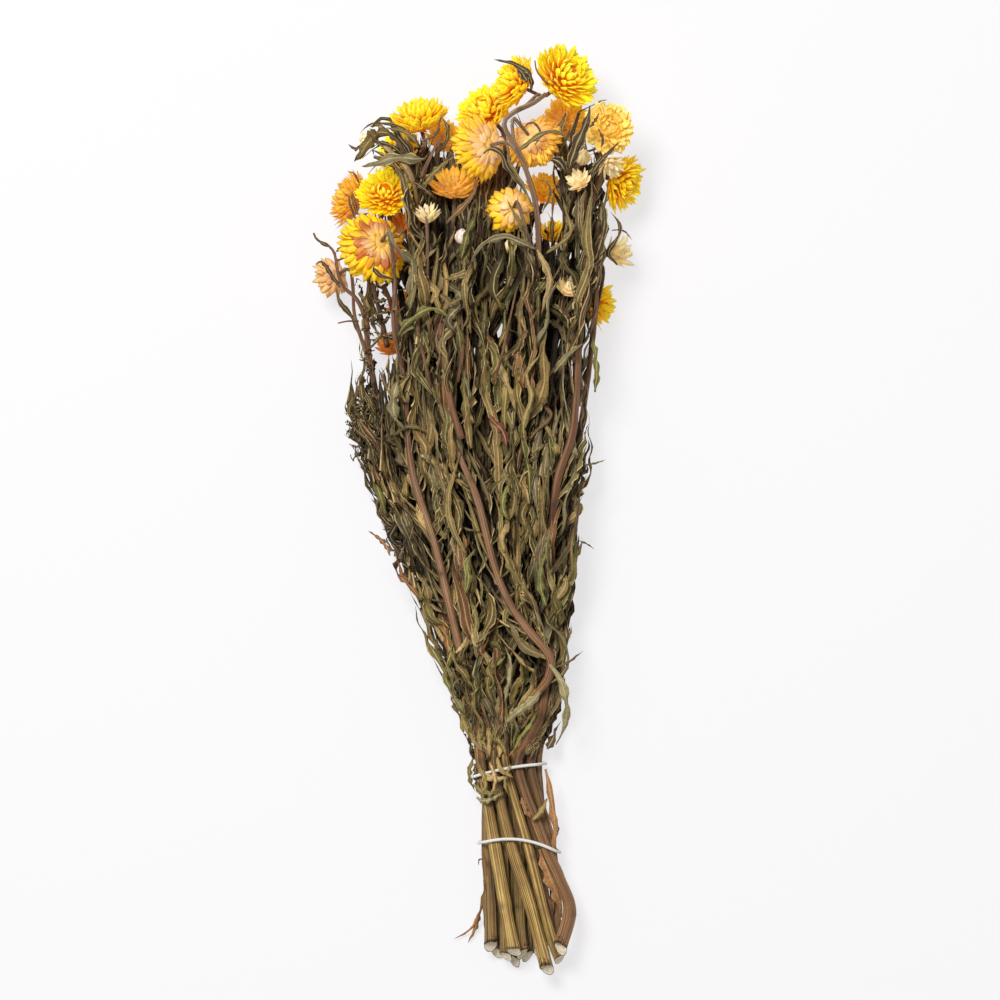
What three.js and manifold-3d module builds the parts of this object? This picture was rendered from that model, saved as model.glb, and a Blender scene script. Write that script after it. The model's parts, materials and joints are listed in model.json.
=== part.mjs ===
// A dried strawflower bunch: thirteen cut stems with their side branches and narrow
// curled leaves, thirty-two papery flower heads, and the two elastic ties round the neck.
//
// The bunch lies on the plane z = 0 with its cut ends towards -Y and its heads towards +Y.
// Millimetres, +Z up. Each leafy stem is one solid, each flower head is one solid, and each
// tie is one ring. Neighbouring solids keep GAP clear of each other.
import * as THREE from "three";
import { mergeVertices } from "three/addons/utils/BufferGeometryUtils.js";
import Module from "manifold-3d";

const wasm = await Module();
wasm.setup();

// ---- driving dimensions, millimetres ----
const GAP = 0.3; // left between a stem's tip and its flower head
const STATION = 3; // spacing of the stations that a route is worked out at
const FINE_STEPS = 16; // straight steps between two points of a route
const TIP_RADIUS = 1.15; // of every stem where it meets its head
const TAPER_POWER = 0.8; // how early a stem loses its thickness
const BRANCH_SHARE = 0.72; // a branch's radius at its foot, as a share of the stem's
// Sides and facet length of the wood, and the share of a turn from one leaf to the next, so
// that each leaf leaves the wood through the middle of a side.
const STEM_WOOD = { sides: 5, step: 32, turn: 2 / 5 };
const BRANCH_WOOD = { sides: 4, step: 20, turn: 1 / 4 };

const LEAF_ZONE_Y = -126; // no leaf starts nearer the cut ends than this
const LEAF_SPACING = 15; // along a stem, from one leaf to the next
const LEAF_LENGTH = [36, 66];
const LEAF_HALF_WIDTH = [2.4, 4.2];
const LEAF_RIB = 1.2; // thickness of a blade at its rib
const LEAF_STANDOFF = [6, 16]; // how far a leaf stands off the stem that it follows
const LEAF_CLEARANCE = 1.7; // between the sample points of leaves on different stems
const OWN_CLEARANCE = 1.5; // the same, for leaves on one stem
const LEAF_STRAY = 0.12; // most that a leaf strays from the middle of its side, radians
const LEAF_LOWEST = 0.7; // leaves keep between these heights over the surface
const LEAF_HIGHEST = 78;
const BRANCH_FIRST_LEAF = 6; // along a branch from its foot
const RIM_BALLS = 12; // round a head's rim, for the test of room
const LEAST_CUT = 1e-4; // mm3 by which a leaf may touch a neighbour
const FIRST_SEED = 12; // each stem's leaves are drawn from a seed of their own

const TIE_RADIUS = 0.85;
const TIE_GAP = 0.6; // between a tie and the round sections of the stems inside it
const TIE_SIDES = 4;
const TIE_CORNER = Math.PI / 5; // the turn from one of its facets to the next, at most

// Seat depth and tiers of bract tips, as shares of a head's radius: [tip radius, tip height,
// notch radius, notch height]. Heights run along the head's axis from the ring of tips.
const FORMS = {
  open: {
    seat: 0.5,
    bracts: 10,
    tiers: [
      [0.8, -0.26, 0.42, -0.34],
      [1.0, -0.02, 0.56, -0.06],
      [0.86, 0.28, 0.5, 0.14],
      [0.52, 0.46, 0.3, 0.3],
    ],
    crown: 0.3,
  },
  small: {
    seat: 0.5,
    bracts: 9,
    tiers: [
      [0.86, -0.24, 0.46, -0.34],
      [1.0, 0.08, 0.58, 0.0],
      [0.64, 0.42, 0.36, 0.24],
    ],
    crown: 0.34,
  },
  half: {
    seat: 0.8,
    bracts: 8,
    tiers: [
      [0.78, -0.1, 0.5, -0.38],
      [1.0, 0.42, 0.56, 0.02],
      [0.5, 0.72, 0.26, 0.44],
    ],
    crown: 0.5,
  },
  bud: {
    seat: 1.1,
    bracts: 6,
    tiers: [
      [1.0, -0.05, 0.78, -0.6],
      [0.72, 0.7, 0.5, 0.2],
    ],
    crown: 1.0,
  },
};

// Flower heads: place of the ring of tips, way it faces, width across, form and colour.
const HEADS = {
  bloom_01: { at: [47, 233, 50], aim: [0.55, 0.5, 0.65], width: 38, form: "open", petals: "yellow" },
  bloom_02: { at: [18, 229, 58], aim: [-0.75, 0.35, 0.3], width: 32, form: "open", petals: "yellow" },
  bloom_03: { at: [3, 216, 33], aim: [-0.55, 0.6, 0.55], width: 35, form: "open", petals: "yellow" },
  bloom_04: { at: [0, 194, 58], aim: [-0.6, -0.1, -0.55], width: 36, form: "open", petals: "orange" },
  bloom_05: { at: [30, 197, 52], aim: [0.35, -0.4, -0.6], width: 32, form: "open", petals: "orange" },
  bloom_06: { at: [69, 205, 52], aim: [0.3, 0.1, 0.9], width: 30, form: "open", petals: "yellow" },
  bloom_07: { at: [47, 212, 20], aim: [0.2, 0.4, -0.6], width: 27, form: "small", petals: "orange" },
  bloom_08: { at: [78, 177, 30], aim: [0.8, -0.25, 0.35], width: 31, form: "open", petals: "yellow" },
  bloom_09: { at: [-32, 212, 46], aim: [-0.2, 0.85, 0.25], width: 34, form: "open", petals: "yellow" },
  bloom_10: { at: [-43, 195, 24], aim: [-0.6, 0.4, 0.5], width: 29, form: "small", petals: "yellow" },
  bloom_11: { at: [-18, 203, 16], aim: [0.2, 0.5, -0.4], width: 23, form: "small", petals: "orange" },
  bloom_12: { at: [-70, 169, 27], aim: [-0.75, 0.25, 0.1], width: 31, form: "open", petals: "orange" },
  bloom_13: { at: [-50, 171, 44], aim: [-0.1, 0.5, 0.7], width: 31, form: "open", petals: "yellow" },
  bloom_14: { at: [-56, 141, 55], aim: [-0.35, -0.25, -0.6], width: 40, form: "open", petals: "yellow" },
  bloom_15: { at: [-38, 154, 24], aim: [0.3, 0.6, -0.2], width: 24, form: "small", petals: "orange" },
  bloom_16: { at: [-79, 127, 20], aim: [-0.5, -0.2, -0.5], width: 23, form: "small", petals: "orange" },
  bloom_17: { at: [-41, 114, 8], aim: [-0.4, 0.8, 0.2], width: 21, form: "small", petals: "orange" },
  bloom_18: { at: [-48, 92, 7], aim: [-0.5, 0.6, 0.3], width: 17, form: "half", petals: "orange" },
  bloom_19: { at: [-13, 176, 44], aim: [0, 0.8, 0.4], width: 28, form: "open", petals: "orange" },
  bloom_20: { at: [17, 162, 50], aim: [-0.2, -0.1, -0.7], width: 26, form: "small", petals: "yellow" },
  bloom_21: { at: [41, 152, 9], aim: [0.1, 0.9, 0.2], width: 23, form: "small", petals: "yellow" },
  bloom_22: { at: [66, 112, 10.6], aim: [0.85, -0.15, 0.2], width: 25, form: "small", petals: "yellow" },
  bloom_23: { at: [37, 175, 11], aim: [0.3, 0.8, 0.4], width: 26, form: "small", petals: "orange" },
  bloom_24: { at: [76, 141, 22], aim: [0.6, 0.2, 0.3], width: 19, form: "small", petals: "cream" },
  bud_01: { at: [71, 184, 54], aim: [0.4, -0.6, 0.3], width: 15, form: "half", petals: "cream" },
  bud_02: { at: [53, 177, 58], aim: [-0.3, 0.5, 0.6], width: 14, form: "half", petals: "cream" },
  bud_03: { at: [-27, 160, 59], aim: [0, 1, 0.1], width: 15, form: "half", petals: "cream" },
  bud_04: { at: [-9, 148, 50], aim: [0.1, 1, 0.2], width: 8.5, form: "bud", petals: "cream" },
  bud_05: { at: [17, 143, 46], aim: [0, 1, 0.2], width: 8.5, form: "bud", petals: "cream" },
  bud_06: { at: [48, 121, 54], aim: [0.3, 0.6, 0.5], width: 15, form: "half", petals: "cream" },
  bud_07: { at: [-60, 199, 52], aim: [-0.8, -0.4, 0.2], width: 8.5, form: "bud", petals: "cream" },
  bud_08: { at: [56, 190, 49], aim: [0.3, 0.6, 0.4], width: 9.5, form: "bud", petals: "cream" },
};

// Stems: radius at the cut end, route from there through the ties (y = -177 and y = -137),
// the head that it carries, and the branches: where each leaves the stem (as a y on it),
// the points that it passes and its own head. A side shoot has leaves and no head.
const STEMS = {
  stem_01: {
    radius: 4.1,
    route: [[19.5, -238, 19.6], [13.8, -207, 19.8], [8.6, -177, 20], [1.8, -137, 17.9],
      [0, -119, 20.7], [-5, -93, 27.2], [-13, -59, 35.2], [-23, -17, 43.2], [-35, 22, 46.2],
      [-39, 61, 46.2], [-44, 110, 43.2], [-46, 145, 35.2]],
    head: "bloom_13",
    branches: [
      { from: 75, route: [[-45, 100, 57.2], [-44, 125, 67.2]], head: "bloom_14" },
      { from: 118, route: [[-34, 150, 49.2], [-33, 178, 55.2], [-44, 199, 56.2]], head: "bud_07" },
    ],
  },
  stem_02: {
    radius: 3.9,
    route: [[37.7, -248, 19.8], [26.9, -207, 19.6], [17.4, -177, 20], [8.4, -137, 18],
      [8, -110, 22.7], [2, -75, 29.2], [-6, -35, 35.2], [-16, 10, 39.2], [-25, 55, 43.2],
      [-28, 105, 47.2], [-31, 150, 43.2], [-31, 190, 42.2]],
    head: "bloom_09",
    branches: [{ from: 95, route: [[-27, 130, 56.2]], head: "bud_03" }],
  },
  stem_03: {
    radius: 3.6,
    route: [[24, -240, 12.4], [22, -207, 12], [21.8, -177, 12.6], [18.3, -137, 11.8],
      [19.5, -125, 14.7], [22.5, -112, 21.2], [29, -98, 29.7], [37, -88, 35.2], [38, -76, 39.2],
      [26, -61, 42.2], [15.8, -46, 44.2], [8, -26, 46.2], [-0.5, 7.5, 49.2], [-10, 30.5, 50.2],
      [-16, 45, 51.2], [-17, 82, 51.2], [-15, 120, 48.2], [-14, 150, 39.2]],
    head: "bloom_19",
    branches: [{ from: 95, route: [[-10, 120, 53.2]], head: "bud_04" }],
  },
  stem_04: {
    radius: 3.3,
    route: [[44.7, -242, 13.7], [38.2, -224, 16.7], [26.3, -177, 20], [15, -137, 18],
      [14, -112, 22.2], [15, -80, 26.2], [18, -46, 30.2], [22, 7, 36.2], [27, 60, 41.2],
      [31, 105, 47.2], [32, 141, 57.2], [30, 166, 65.2], [22, 190, 69.2], [13.6, 205, 72.2],
      [18.7, 212, 71.2], [28.6, 217, 66.2], [35, 222, 59.2]],
    head: "bloom_01",
    branches: [
      { from: 120, route: [[28, 140, 63.2]], head: "bloom_20" },
      { from: 181, route: [[18, 194, 72.2]], head: "bloom_04" },
      { from: 195, route: [[18, 209, 71.2]], head: "bloom_05" },
      { from: 214, route: [[31, 222, 61.2]], head: "bloom_02" },
    ],
  },
  stem_05: {
    radius: 4.0,
    route: [[42.5, -236, 23], [49, -213, 20.2], [43, -195, 19.8], [35, -177, 19.8],
      [21.6, -137, 17.9], [26.5, -122, 20.7], [34, -105, 23.2], [36, -70, 27.2], [38, -20, 36.2],
      [42, 17, 43.2], [49.5, 40, 46.2], [52, 60, 48.2], [54, 100, 49.2], [57, 140, 48.2],
      [61, 170, 43.2], [65, 195, 38.2]],
    head: "bloom_06",
    branches: [
      { from: 80, route: [[48, 105, 51.2]], head: "bud_06" },
      { from: 145, route: [[56, 160, 54.2]], head: "bud_02" },
      { from: 160, route: [[66, 182, 51.2]], head: "bud_01" },
    ],
  },
  stem_06: {
    radius: 3.7,
    route: [[6.8, -236, 12.6], [6.2, -212, 12.4], [4.6, -177, 12.4], [5, -137, 11.8],
      [0, -112, 14.2], [-15, -70, 19.2], [-31, -25, 23.2], [-45, 20, 25.2], [-54, 60, 25.2],
      [-60, 100, 25.2], [-56, 140, 25.2], [-52, 160, 26.2]],
    head: "bloom_12",
    branches: [
      { from: 75, route: [[-66, 105, 29.2], [-67, 120, 33.2]], head: "bloom_16" },
      { from: -45, route: [[-42, -8, 19.2], [-54, 22, 16.2], [-66, 48, 19.2]] },
    ],
  },
  stem_07: {
    radius: 3.5,
    route: [[14.6, -241, 12.2], [14, -207, 12.2], [13, -177, 12.4], [11.7, -137, 11.8],
      [5, -105, 16.7], [-2, -60, 20.2], [-10, -15, 22.2], [-22, 30, 24.2], [-30, 75, 24.2],
      [-32, 115, 22.2], [-29, 150, 15.2], [-32, 180, 13.2]],
    head: "bloom_10",
    branches: [
      { from: 105, route: [[-38, 128, 26.2]], head: "bloom_15" },
      { from: 145, route: [[-22, 175, 23.2]], head: "bloom_11" },
    ],
  },
  stem_08: {
    radius: 3.9,
    route: [[18.5, -245, 5.6], [18, -210, 5.4], [17.5, -177, 5.3], [14, -137, 5.6],
      [14, -115, 9.7], [13, -95, 14.7], [9.5, -55, 21.2], [7, -5, 26.2], [4, 50, 29.2],
      [4, 100, 31.2], [6, 150, 31.2], [12, 180, 25.2], [14, 200, 23.2]],
    head: "bloom_03",
    branches: [{ from: 95, route: [[12, 122, 41.2]], head: "bud_05" }],
  },
  stem_09: {
    radius: 3.4,
    route: [[33, -239, 12.7], [32, -207, 12.2], [30.6, -177, 12.4], [25, -137, 11.8],
      [26, -100, 13.2], [26, -50, 19.2], [30, 0, 23.2], [36, 50, 25.2], [42, 100, 29.2],
      [46, 150, 33.2], [45, 180, 35.2], [43, 198, 35.2]],
    head: "bloom_07",
    branches: [{ from: 145, route: [[51, 172, 40.2]], head: "bud_08" }],
  },
  stem_10: {
    radius: 3.2,
    route: [[42.7, -240, 5.8], [41, -207, 9.7], [38.8, -177, 12.4], [28.4, -137, 17.9],
      [33, -118, 15.7], [38, -95, 15.2], [43, -60, 18.2], [47, -10, 21.2], [54, 40, 23.2],
      [60, 85, 27.2], [63, 120, 28.2], [62, 155, 26.2], [61, 176, 25.2]],
    head: "bloom_08",
    branches: [{ from: 100, route: [[67, 129, 22.2]], head: "bloom_24" }],
  },
  stem_11: {
    radius: 3.7,
    route: [[10, -240, 5.3], [9.5, -207, 5.2], [9, -177, 5.2], [6, -137, 5.6],
      [-2, -100, 7.2], [-15, -55, 9.2], [-28, -5, 10.2], [-36, 40, 10.7], [-37, 72, 10.2],
      [-37, 95, 9.2]],
    head: "bloom_17",
    branches: [{ from: 55, route: [[-41, 74, 8.2]], head: "bloom_18" }],
  },
  stem_12: {
    radius: 3.8,
    route: [[26.8, -242, 5.5], [26.5, -207, 5.4], [26, -177, 5.3], [22, -137, 5.6],
      [20, -100, 6.7], [16, -50, 9.2], [20, 0, 10.2], [26, 50, 10.2], [26, 100, 9.2],
      [26, 140, 7.2], [28, 158, 7.2]],
    head: "bloom_23",
    branches: [{ from: 100, route: [[35, 130, 8.2]], head: "bloom_21" }],
  },
  stem_13: {
    radius: 3.7,
    route: [[35, -237, 5.4], [34.5, -207, 5.4], [34.5, -177, 5.3], [31.5, -137, 11.8],
      [33, -120, 8.7], [34, -100, 7.2], [36, -50, 9.2], [43, 0, 10.2], [50, 45, 11.2],
      [52, 80, 10.2], [50, 104, 9.2]],
    head: "bloom_22",
    branches: [],
  },
};

// Ties: height on the bunch, how far the ring climbs from left to right, and its bow.
const TIES = {
  tie_upper: { y: -137, climb: 3.5, bow: 1.5 },
  tie_lower: { y: -177, climb: -2.5, bow: 5 },
};

const FINISHES = {
  leafy: { color: 0x5d5b38, roughness: 0.85 },
  yellow: { color: 0xf5b81a, roughness: 0.5 },
  orange: { color: 0xd9822b, roughness: 0.55 },
  cream: { color: 0xe0c08a, roughness: 0.55 },
  tie: { color: 0xeeeae4, roughness: 0.7 },
};

// ---- small helpers ----
const vec = (p) => new THREE.Vector3(...p);
const mix = (a, b, t) => a + (b - a) * t;

// A repeatable stream of numbers from 0 to 1.
function stream(seed) {
  let state = seed >>> 0;
  return () => {
    state = (Math.imul(state, 1664525) + 1013904223) >>> 0;
    return state / 4294967296;
  };
}

// A smooth route through points: stations a fixed distance apart, its length, and how far
// along it each point lies.
function routeThrough(points) {
  const curve = new THREE.CatmullRomCurve3(points, false, "catmullrom", 0.5);
  const dense = curve.getPoints((points.length - 1) * FINE_STEPS);
  const stations = [dense[0].clone()];
  const knots = [0];
  let length = 0;
  for (let i = 1; i < dense.length; i++) {
    const span = dense[i].distanceTo(dense[i - 1]);
    while (stations.length * STATION <= length + span) {
      const share = (stations.length * STATION - length) / span;
      stations.push(dense[i - 1].clone().lerp(dense[i], share));
    }
    length += span;
    if (i % FINE_STEPS === 0) knots.push(length);
  }
  stations.push(dense.at(-1).clone());
  return { stations, length, knots };
}

// Place and axes of a route at a distance along it: along, up and side.
function frameAt(route, distance) {
  const { stations } = route;
  const ends = stations.length - 1;
  const i = Math.max(0, Math.min(ends - 1, Math.floor(distance / STATION)));
  const span = i === ends - 1 ? route.length - i * STATION : STATION;
  const place = stations[i].clone().lerp(stations[i + 1], (distance - i * STATION) / span);
  const back = stations[Math.max(0, i - 1)];
  const ahead = stations[Math.min(ends, i + 2)];
  const along = ahead.clone().sub(back).normalize();
  const rise = Math.abs(along.z) > 0.95 ? new THREE.Vector3(1, 0, 0) : new THREE.Vector3(0, 0, 1);
  const up = rise.addScaledVector(along, -rise.dot(along)).normalize();
  return { place, along, up, side: along.clone().cross(up) };
}

// ---- closed skins ----
// Rings joined into one closed skin, each ring counted anticlockwise about the way that they
// follow each other. A ring of one point closes to a tip.
function skin(rings) {
  const starts = rings.map((_, r) => rings.slice(0, r).flat().length);
  const faces = [];
  for (let r = 0; r + 1 < rings.length; r++) {
    const [low, high] = [rings[r].length, rings[r + 1].length];
    const count = Math.max(low, high);
    for (let i = 0; i < count; i++) {
      const next = (i + 1) % count;
      const [a, b] = [i % low, next % low].map((k) => starts[r] + k);
      const [c, d] = [next % high, i % high].map((k) => starts[r + 1] + k);
      if (low > 1) faces.push(a, b, c);
      if (high > 1) faces.push(a, c, d);
    }
  }
  const last = starts[rings.length - 1];
  for (let i = 1; i + 1 < rings[0].length; i++) faces.push(0, i + 1, i);
  for (let i = 1; i + 1 < rings.at(-1).length; i++) faces.push(last, last + i, last + i + 1);
  return new THREE.BufferGeometry().setFromPoints(rings.flat()).setIndex(faces);
}

// A tube of rings that meets itself, such as an elastic band.
function loop(rings) {
  const sides = rings[0].length;
  const faces = [];
  for (let r = 0; r < rings.length; r++) {
    const after = (r + 1) % rings.length;
    for (let i = 0; i < sides; i++) {
      const next = (i + 1) % sides;
      const [a, b] = [r * sides + i, r * sides + next];
      const [c, d] = [after * sides + next, after * sides + i];
      faces.push(a, b, c, a, c, d);
    }
  }
  return new THREE.BufferGeometry().setFromPoints(rings.flat()).setIndex(faces);
}

function toSolid(geometry) {
  geometry.deleteAttribute("normal");
  geometry.deleteAttribute("uv");
  const merged = mergeVertices(geometry);
  const vertProperties = merged.getAttribute("position").array;
  const triVerts = Uint32Array.from(merged.getIndex().array);
  return new wasm.Manifold(new wasm.Mesh({ numProp: 3, vertProperties, triVerts }));
}

// The largest body of a solid: a scrap that a cut left loose is dropped.
function largestBody(solid) {
  return solid.decompose().sort((a, b) => b.volume() - a.volume())[0];
}

// ---- flower heads ----
function headAxes(head) {
  const aim = vec(head.aim).normalize();
  const across = Math.abs(aim.z) > 0.9 ? new THREE.Vector3(1, 0, 0) : new THREE.Vector3(0, 0, 1);
  const side = across.cross(aim).normalize();
  return { aim, side, lift: aim.clone().cross(side) };
}

function seatOf(head) {
  const { aim } = headAxes(head);
  return vec(head.at).addScaledVector(aim, (-FORMS[head.form].seat * head.width) / 2);
}

// A head is one skin over its tiers: each tier is a star of bract tips and notches, turned
// half a step from the tier below, so that every tip stands over a notch.
function headSolid(head) {
  const { seat, bracts, tiers, crown } = FORMS[head.form];
  const { aim, side, lift } = headAxes(head);
  const radius = head.width / 2;
  const place = (share, height, angle) =>
    vec(head.at)
      .addScaledVector(aim, height * radius)
      .addScaledVector(side, Math.cos(angle) * share * radius)
      .addScaledVector(lift, Math.sin(angle) * share * radius);
  const around = [...Array(2 * bracts).keys()];
  const angleOf = (i) => (i * Math.PI) / bracts;
  const rings = [around.map((i) => place(0.15, -seat, angleOf(i)))];
  tiers.forEach(([tipRadius, tipHeight, notchRadius, notchHeight], tier) =>
    rings.push(
      around.map((i) =>
        (i + tier) % 2
          ? place(tipRadius, tipHeight, angleOf(i))
          : place(notchRadius, notchHeight, angleOf(i)),
      ),
    ),
  );
  rings.push([place(0, crown, 0)]);
  return toSolid(skin(rings));
}

// Balls that stand for a head when room is tested: two in its heart and a ring at its rim.
function ballsOf(head) {
  const { aim, side, lift } = headAxes(head);
  const radius = head.width / 2;
  const balls = [-0.2, 0.2].map((height) => [
    vec(head.at).addScaledVector(aim, height * radius),
    radius * 0.6,
  ]);
  for (let k = 0; k < RIM_BALLS; k++) {
    const angle = (2 * Math.PI * k) / RIM_BALLS;
    const rim = vec(head.at)
      .addScaledVector(side, Math.cos(angle) * radius * 0.75)
      .addScaledVector(lift, Math.sin(angle) * radius * 0.75);
    balls.push([rim, radius * 0.28]);
  }
  return balls;
}

// ---- stems ----
// Wood of one axis: a ring at each point of its route, and between points that lie far apart.
function tubeSolid({ route, radiusAt, wood: { sides, step } }) {
  const distances = [0];
  route.knots.slice(1).forEach((knot, i) => {
    const start = route.knots[i];
    const count = Math.max(1, Math.round((knot - start) / step));
    for (let k = 1; k <= count; k++) distances.push(mix(start, knot, k / count));
  });
  const rings = distances.map((distance) => {
    const { place, up, side } = frameAt(route, distance);
    const radius = radiusAt(distance / route.length);
    return [...Array(sides).keys()].map((i) => {
      const angle = (2 * Math.PI * (i + 0.5)) / sides;
      return place
        .clone()
        .addScaledVector(up, -Math.cos(angle) * radius)
        .addScaledVector(side, -Math.sin(angle) * radius);
    });
  });
  return toSolid(skin(rings));
}

// The last points of a route: straight into the head's seat, GAP short of it.
function approach(name) {
  if (!name) return [];
  const head = HEADS[name];
  const { aim } = headAxes(head);
  const seat = seatOf(head);
  const run = Math.min(9, head.width * 0.45);
  return [seat.clone().addScaledVector(aim, -run), seat.clone().addScaledVector(aim, -GAP)];
}

function layStem(spec) {
  const route = routeThrough([...spec.route.map(vec), ...approach(spec.head)]);
  const radiusAt = (share) => mix(spec.radius, TIP_RADIUS, Math.pow(share, TAPER_POWER));
  const branches = spec.branches.map((branch) => {
    const index = route.stations.findIndex((p) => p.y >= branch.from);
    const foot = radiusAt(index / (route.stations.length - 1)) * BRANCH_SHARE;
    const start = [route.stations[index - 3], route.stations[index]];
    const points = [...start, ...branch.route.map(vec), ...approach(branch.head)];
    const slimmer = (share) => mix(foot, 1.0, share);
    return { route: routeThrough(points), radiusAt: slimmer, wood: BRANCH_WOOD };
  });
  return { trunk: { route, radiusAt, wood: STEM_WOOD }, branches };
}

// ---- leaves ----
// A leaf follows the axis that it grows from, standing off it, swinging round it and waving.
function leafPlace(leaf, share) {
  const { place, up, side } = frameAt(leaf.route, leaf.from + share * leaf.length * 0.92);
  const angle = leaf.angle + leaf.swirl * share;
  const out = up.clone().multiplyScalar(Math.cos(angle)).addScaledVector(side, Math.sin(angle));
  const round = up.clone().multiplyScalar(-Math.sin(angle)).addScaledVector(side, Math.cos(angle));
  const rise = Math.sin((Math.min(1, share / 0.55) * Math.PI) / 2);
  const stand = leaf.standoff * rise + leaf.flare * share ** 3;
  const wave = leaf.wave * Math.sin(2 * Math.PI * leaf.waves * share + leaf.phase) * share;
  place.addScaledVector(out, stand).addScaledVector(round, wave);
  return { place, out };
}

// Half the width of a blade: narrow at the foot, widest below the middle, a long point.
function bladeWidth(leaf, share) {
  const blade = Math.sin(Math.PI * Math.pow(share, 0.75)) ** 0.85;
  return leaf.halfWidth * Math.max(0.24 * (1 - share), blade || 0);
}

function leafSection(leaf, share) {
  const { place, out } = leafPlace(leaf, share);
  const ahead = leafPlace(leaf, share + 0.02).place;
  const along = ahead.sub(leafPlace(leaf, share - 0.02).place).normalize();
  const flat = out.addScaledVector(along, -out.dot(along)).normalize();
  const across = along.clone().cross(flat);
  const twist = leaf.twist * share;
  const side = across.clone().multiplyScalar(Math.cos(twist)).addScaledVector(flat, Math.sin(twist));
  const normal = flat.multiplyScalar(Math.cos(twist)).addScaledVector(across, -Math.sin(twist));
  return { place, side, normal, half: bladeWidth(leaf, share) };
}

// A blade with a keel along its rib: three points round each section, closed to a point at
// its tip and at its root in the middle of the wood.
function leafSolid(leaf) {
  const rings = [0.22, 0.5, 0.78].map((share) => {
    const { place, side, normal, half } = leafSection(leaf, share);
    const lift = half * leaf.fold;
    return [
      place.clone().addScaledVector(side, half).addScaledVector(normal, lift),
      place.clone().addScaledVector(normal, -LEAF_RIB * (1 - 0.4 * share)),
      place.clone().addScaledVector(side, -half).addScaledVector(normal, lift),
    ];
  });
  return toSolid(skin([[leafPlace(leaf, 0).place], ...rings, [leafPlace(leaf, 1).place]]));
}

// Points that stand for a blade when its room is tested.
function leafSamples(leaf) {
  const samples = [];
  for (let k = 2; k <= 10; k++) {
    const { place, side, half } = leafSection(leaf, k / 10);
    for (const share of [-1, 0, 1]) {
      samples.push(place.clone().addScaledVector(side, half * share));
    }
  }
  return samples;
}

// What leaves have to keep clear of: balls, each belonging to a stem or a head.
const taken = [];
const take = (owner, centre, radius) => taken.push({ owner, centre, radius });

function hasRoom(owner, samples) {
  return samples.every((p) => {
    if (p.z < LEAF_LOWEST || p.z > LEAF_HIGHEST) return false;
    return taken.every(({ owner: other, centre, radius }) => {
      if (other === owner && radius > 0) return true;
      const keep = other === owner ? OWN_CLEARANCE : radius + LEAF_CLEARANCE;
      return p.distanceToSquared(centre) > keep * keep;
    });
  });
}

// Leaves along one axis, in the order that they grow. A leaf that would cross a neighbour is
// bent closer to its own stem, then shortened, and left off if it still has no room.
function growLeaves(owner, axis, first, draw) {
  const leaves = [];
  let distance = first;
  let turns = Math.floor(draw() * axis.wood.sides) / axis.wood.sides + 0.5;
  while (distance < axis.route.length - 10) {
    const leaf = {
      route: axis.route,
      from: distance,
      length: mix(...LEAF_LENGTH, draw()),
      halfWidth: mix(...LEAF_HALF_WIDTH, draw()),
      standoff: mix(...LEAF_STANDOFF, draw()),
      angle: 2 * Math.PI * turns + mix(-LEAF_STRAY, LEAF_STRAY, draw()),
      swirl: mix(-0.9, 0.9, draw()),
      flare: mix(-4, 10, draw()),
      wave: mix(0.6, 2.4, draw()),
      waves: mix(0.8, 1.9, draw()),
      phase: mix(0, 2 * Math.PI, draw()),
      twist: mix(-1.7, 1.7, draw()),
      fold: mix(0.05, 0.3, draw()),
    };
    for (const [bend, cut] of [[1, 1], [0.75, 0.95], [0.55, 0.85], [0.4, 0.7]]) {
      const tried = {
        ...leaf,
        standoff: leaf.standoff * bend,
        flare: leaf.flare * bend,
        length: leaf.length * cut,
      };
      const samples = leafSamples(tried);
      if (!hasRoom(owner, samples)) continue;
      samples.forEach((p) => take(owner, p, 0));
      leaves.push(tried);
      break;
    }
    distance += LEAF_SPACING * mix(0.7, 1.3, draw());
    turns += axis.wood.turn;
  }
  return leaves;
}

// ---- ties ----
// The outline that an elastic takes round the stems: the hull of their sections where it
// crosses them, grown by the elastic's own radius.
function tieSolid(spec, stems) {
  const reach = Math.abs(spec.climb) + spec.bow / 2 + TIE_RADIUS;
  const corners = Math.round((2 * Math.PI) / TIE_CORNER);
  const points = [];
  for (const { trunk } of stems) {
    const { stations } = trunk.route;
    for (const y of [spec.y - reach, spec.y, spec.y + reach]) {
      const index = stations.findIndex((p) => p.y >= y);
      const clear = trunk.radiusAt(index / (stations.length - 1)) + TIE_RADIUS + TIE_GAP;
      const radius = clear / Math.cos(Math.PI / corners);
      for (let k = 0; k < corners; k++) {
        const angle = (2 * Math.PI * k) / corners;
        const { x, z } = stations[index];
        points.push([x + Math.cos(angle) * radius, z + Math.sin(angle) * radius]);
      }
    }
  }
  const ring = convexHull(points);
  const [left, right] = [Math.min, Math.max].map((pick) => pick(...ring.map(([x]) => x)));
  const centres = ring.map(([x, z]) => {
    const across = (2 * x - left - right) / (right - left);
    const y = spec.y + spec.climb * across + spec.bow * (0.5 - across * across);
    return new THREE.Vector3(x, y, z);
  });
  const rings = centres.map((centre, i) => {
    const before = centres.at(i - 1);
    const after = centres[(i + 1) % centres.length];
    const along = after.clone().sub(before).normalize();
    const length = new THREE.Vector3(0, 1, 0).addScaledVector(along, -along.y).normalize();
    const outward = along.clone().cross(length);
    return [...Array(TIE_SIDES).keys()].map((k) => {
      const angle = (2 * Math.PI * k) / TIE_SIDES;
      return centre
        .clone()
        .addScaledVector(length, Math.cos(angle) * TIE_RADIUS)
        .addScaledVector(outward, Math.sin(angle) * TIE_RADIUS);
    });
  });
  return toSolid(loop(rings));
}

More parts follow.
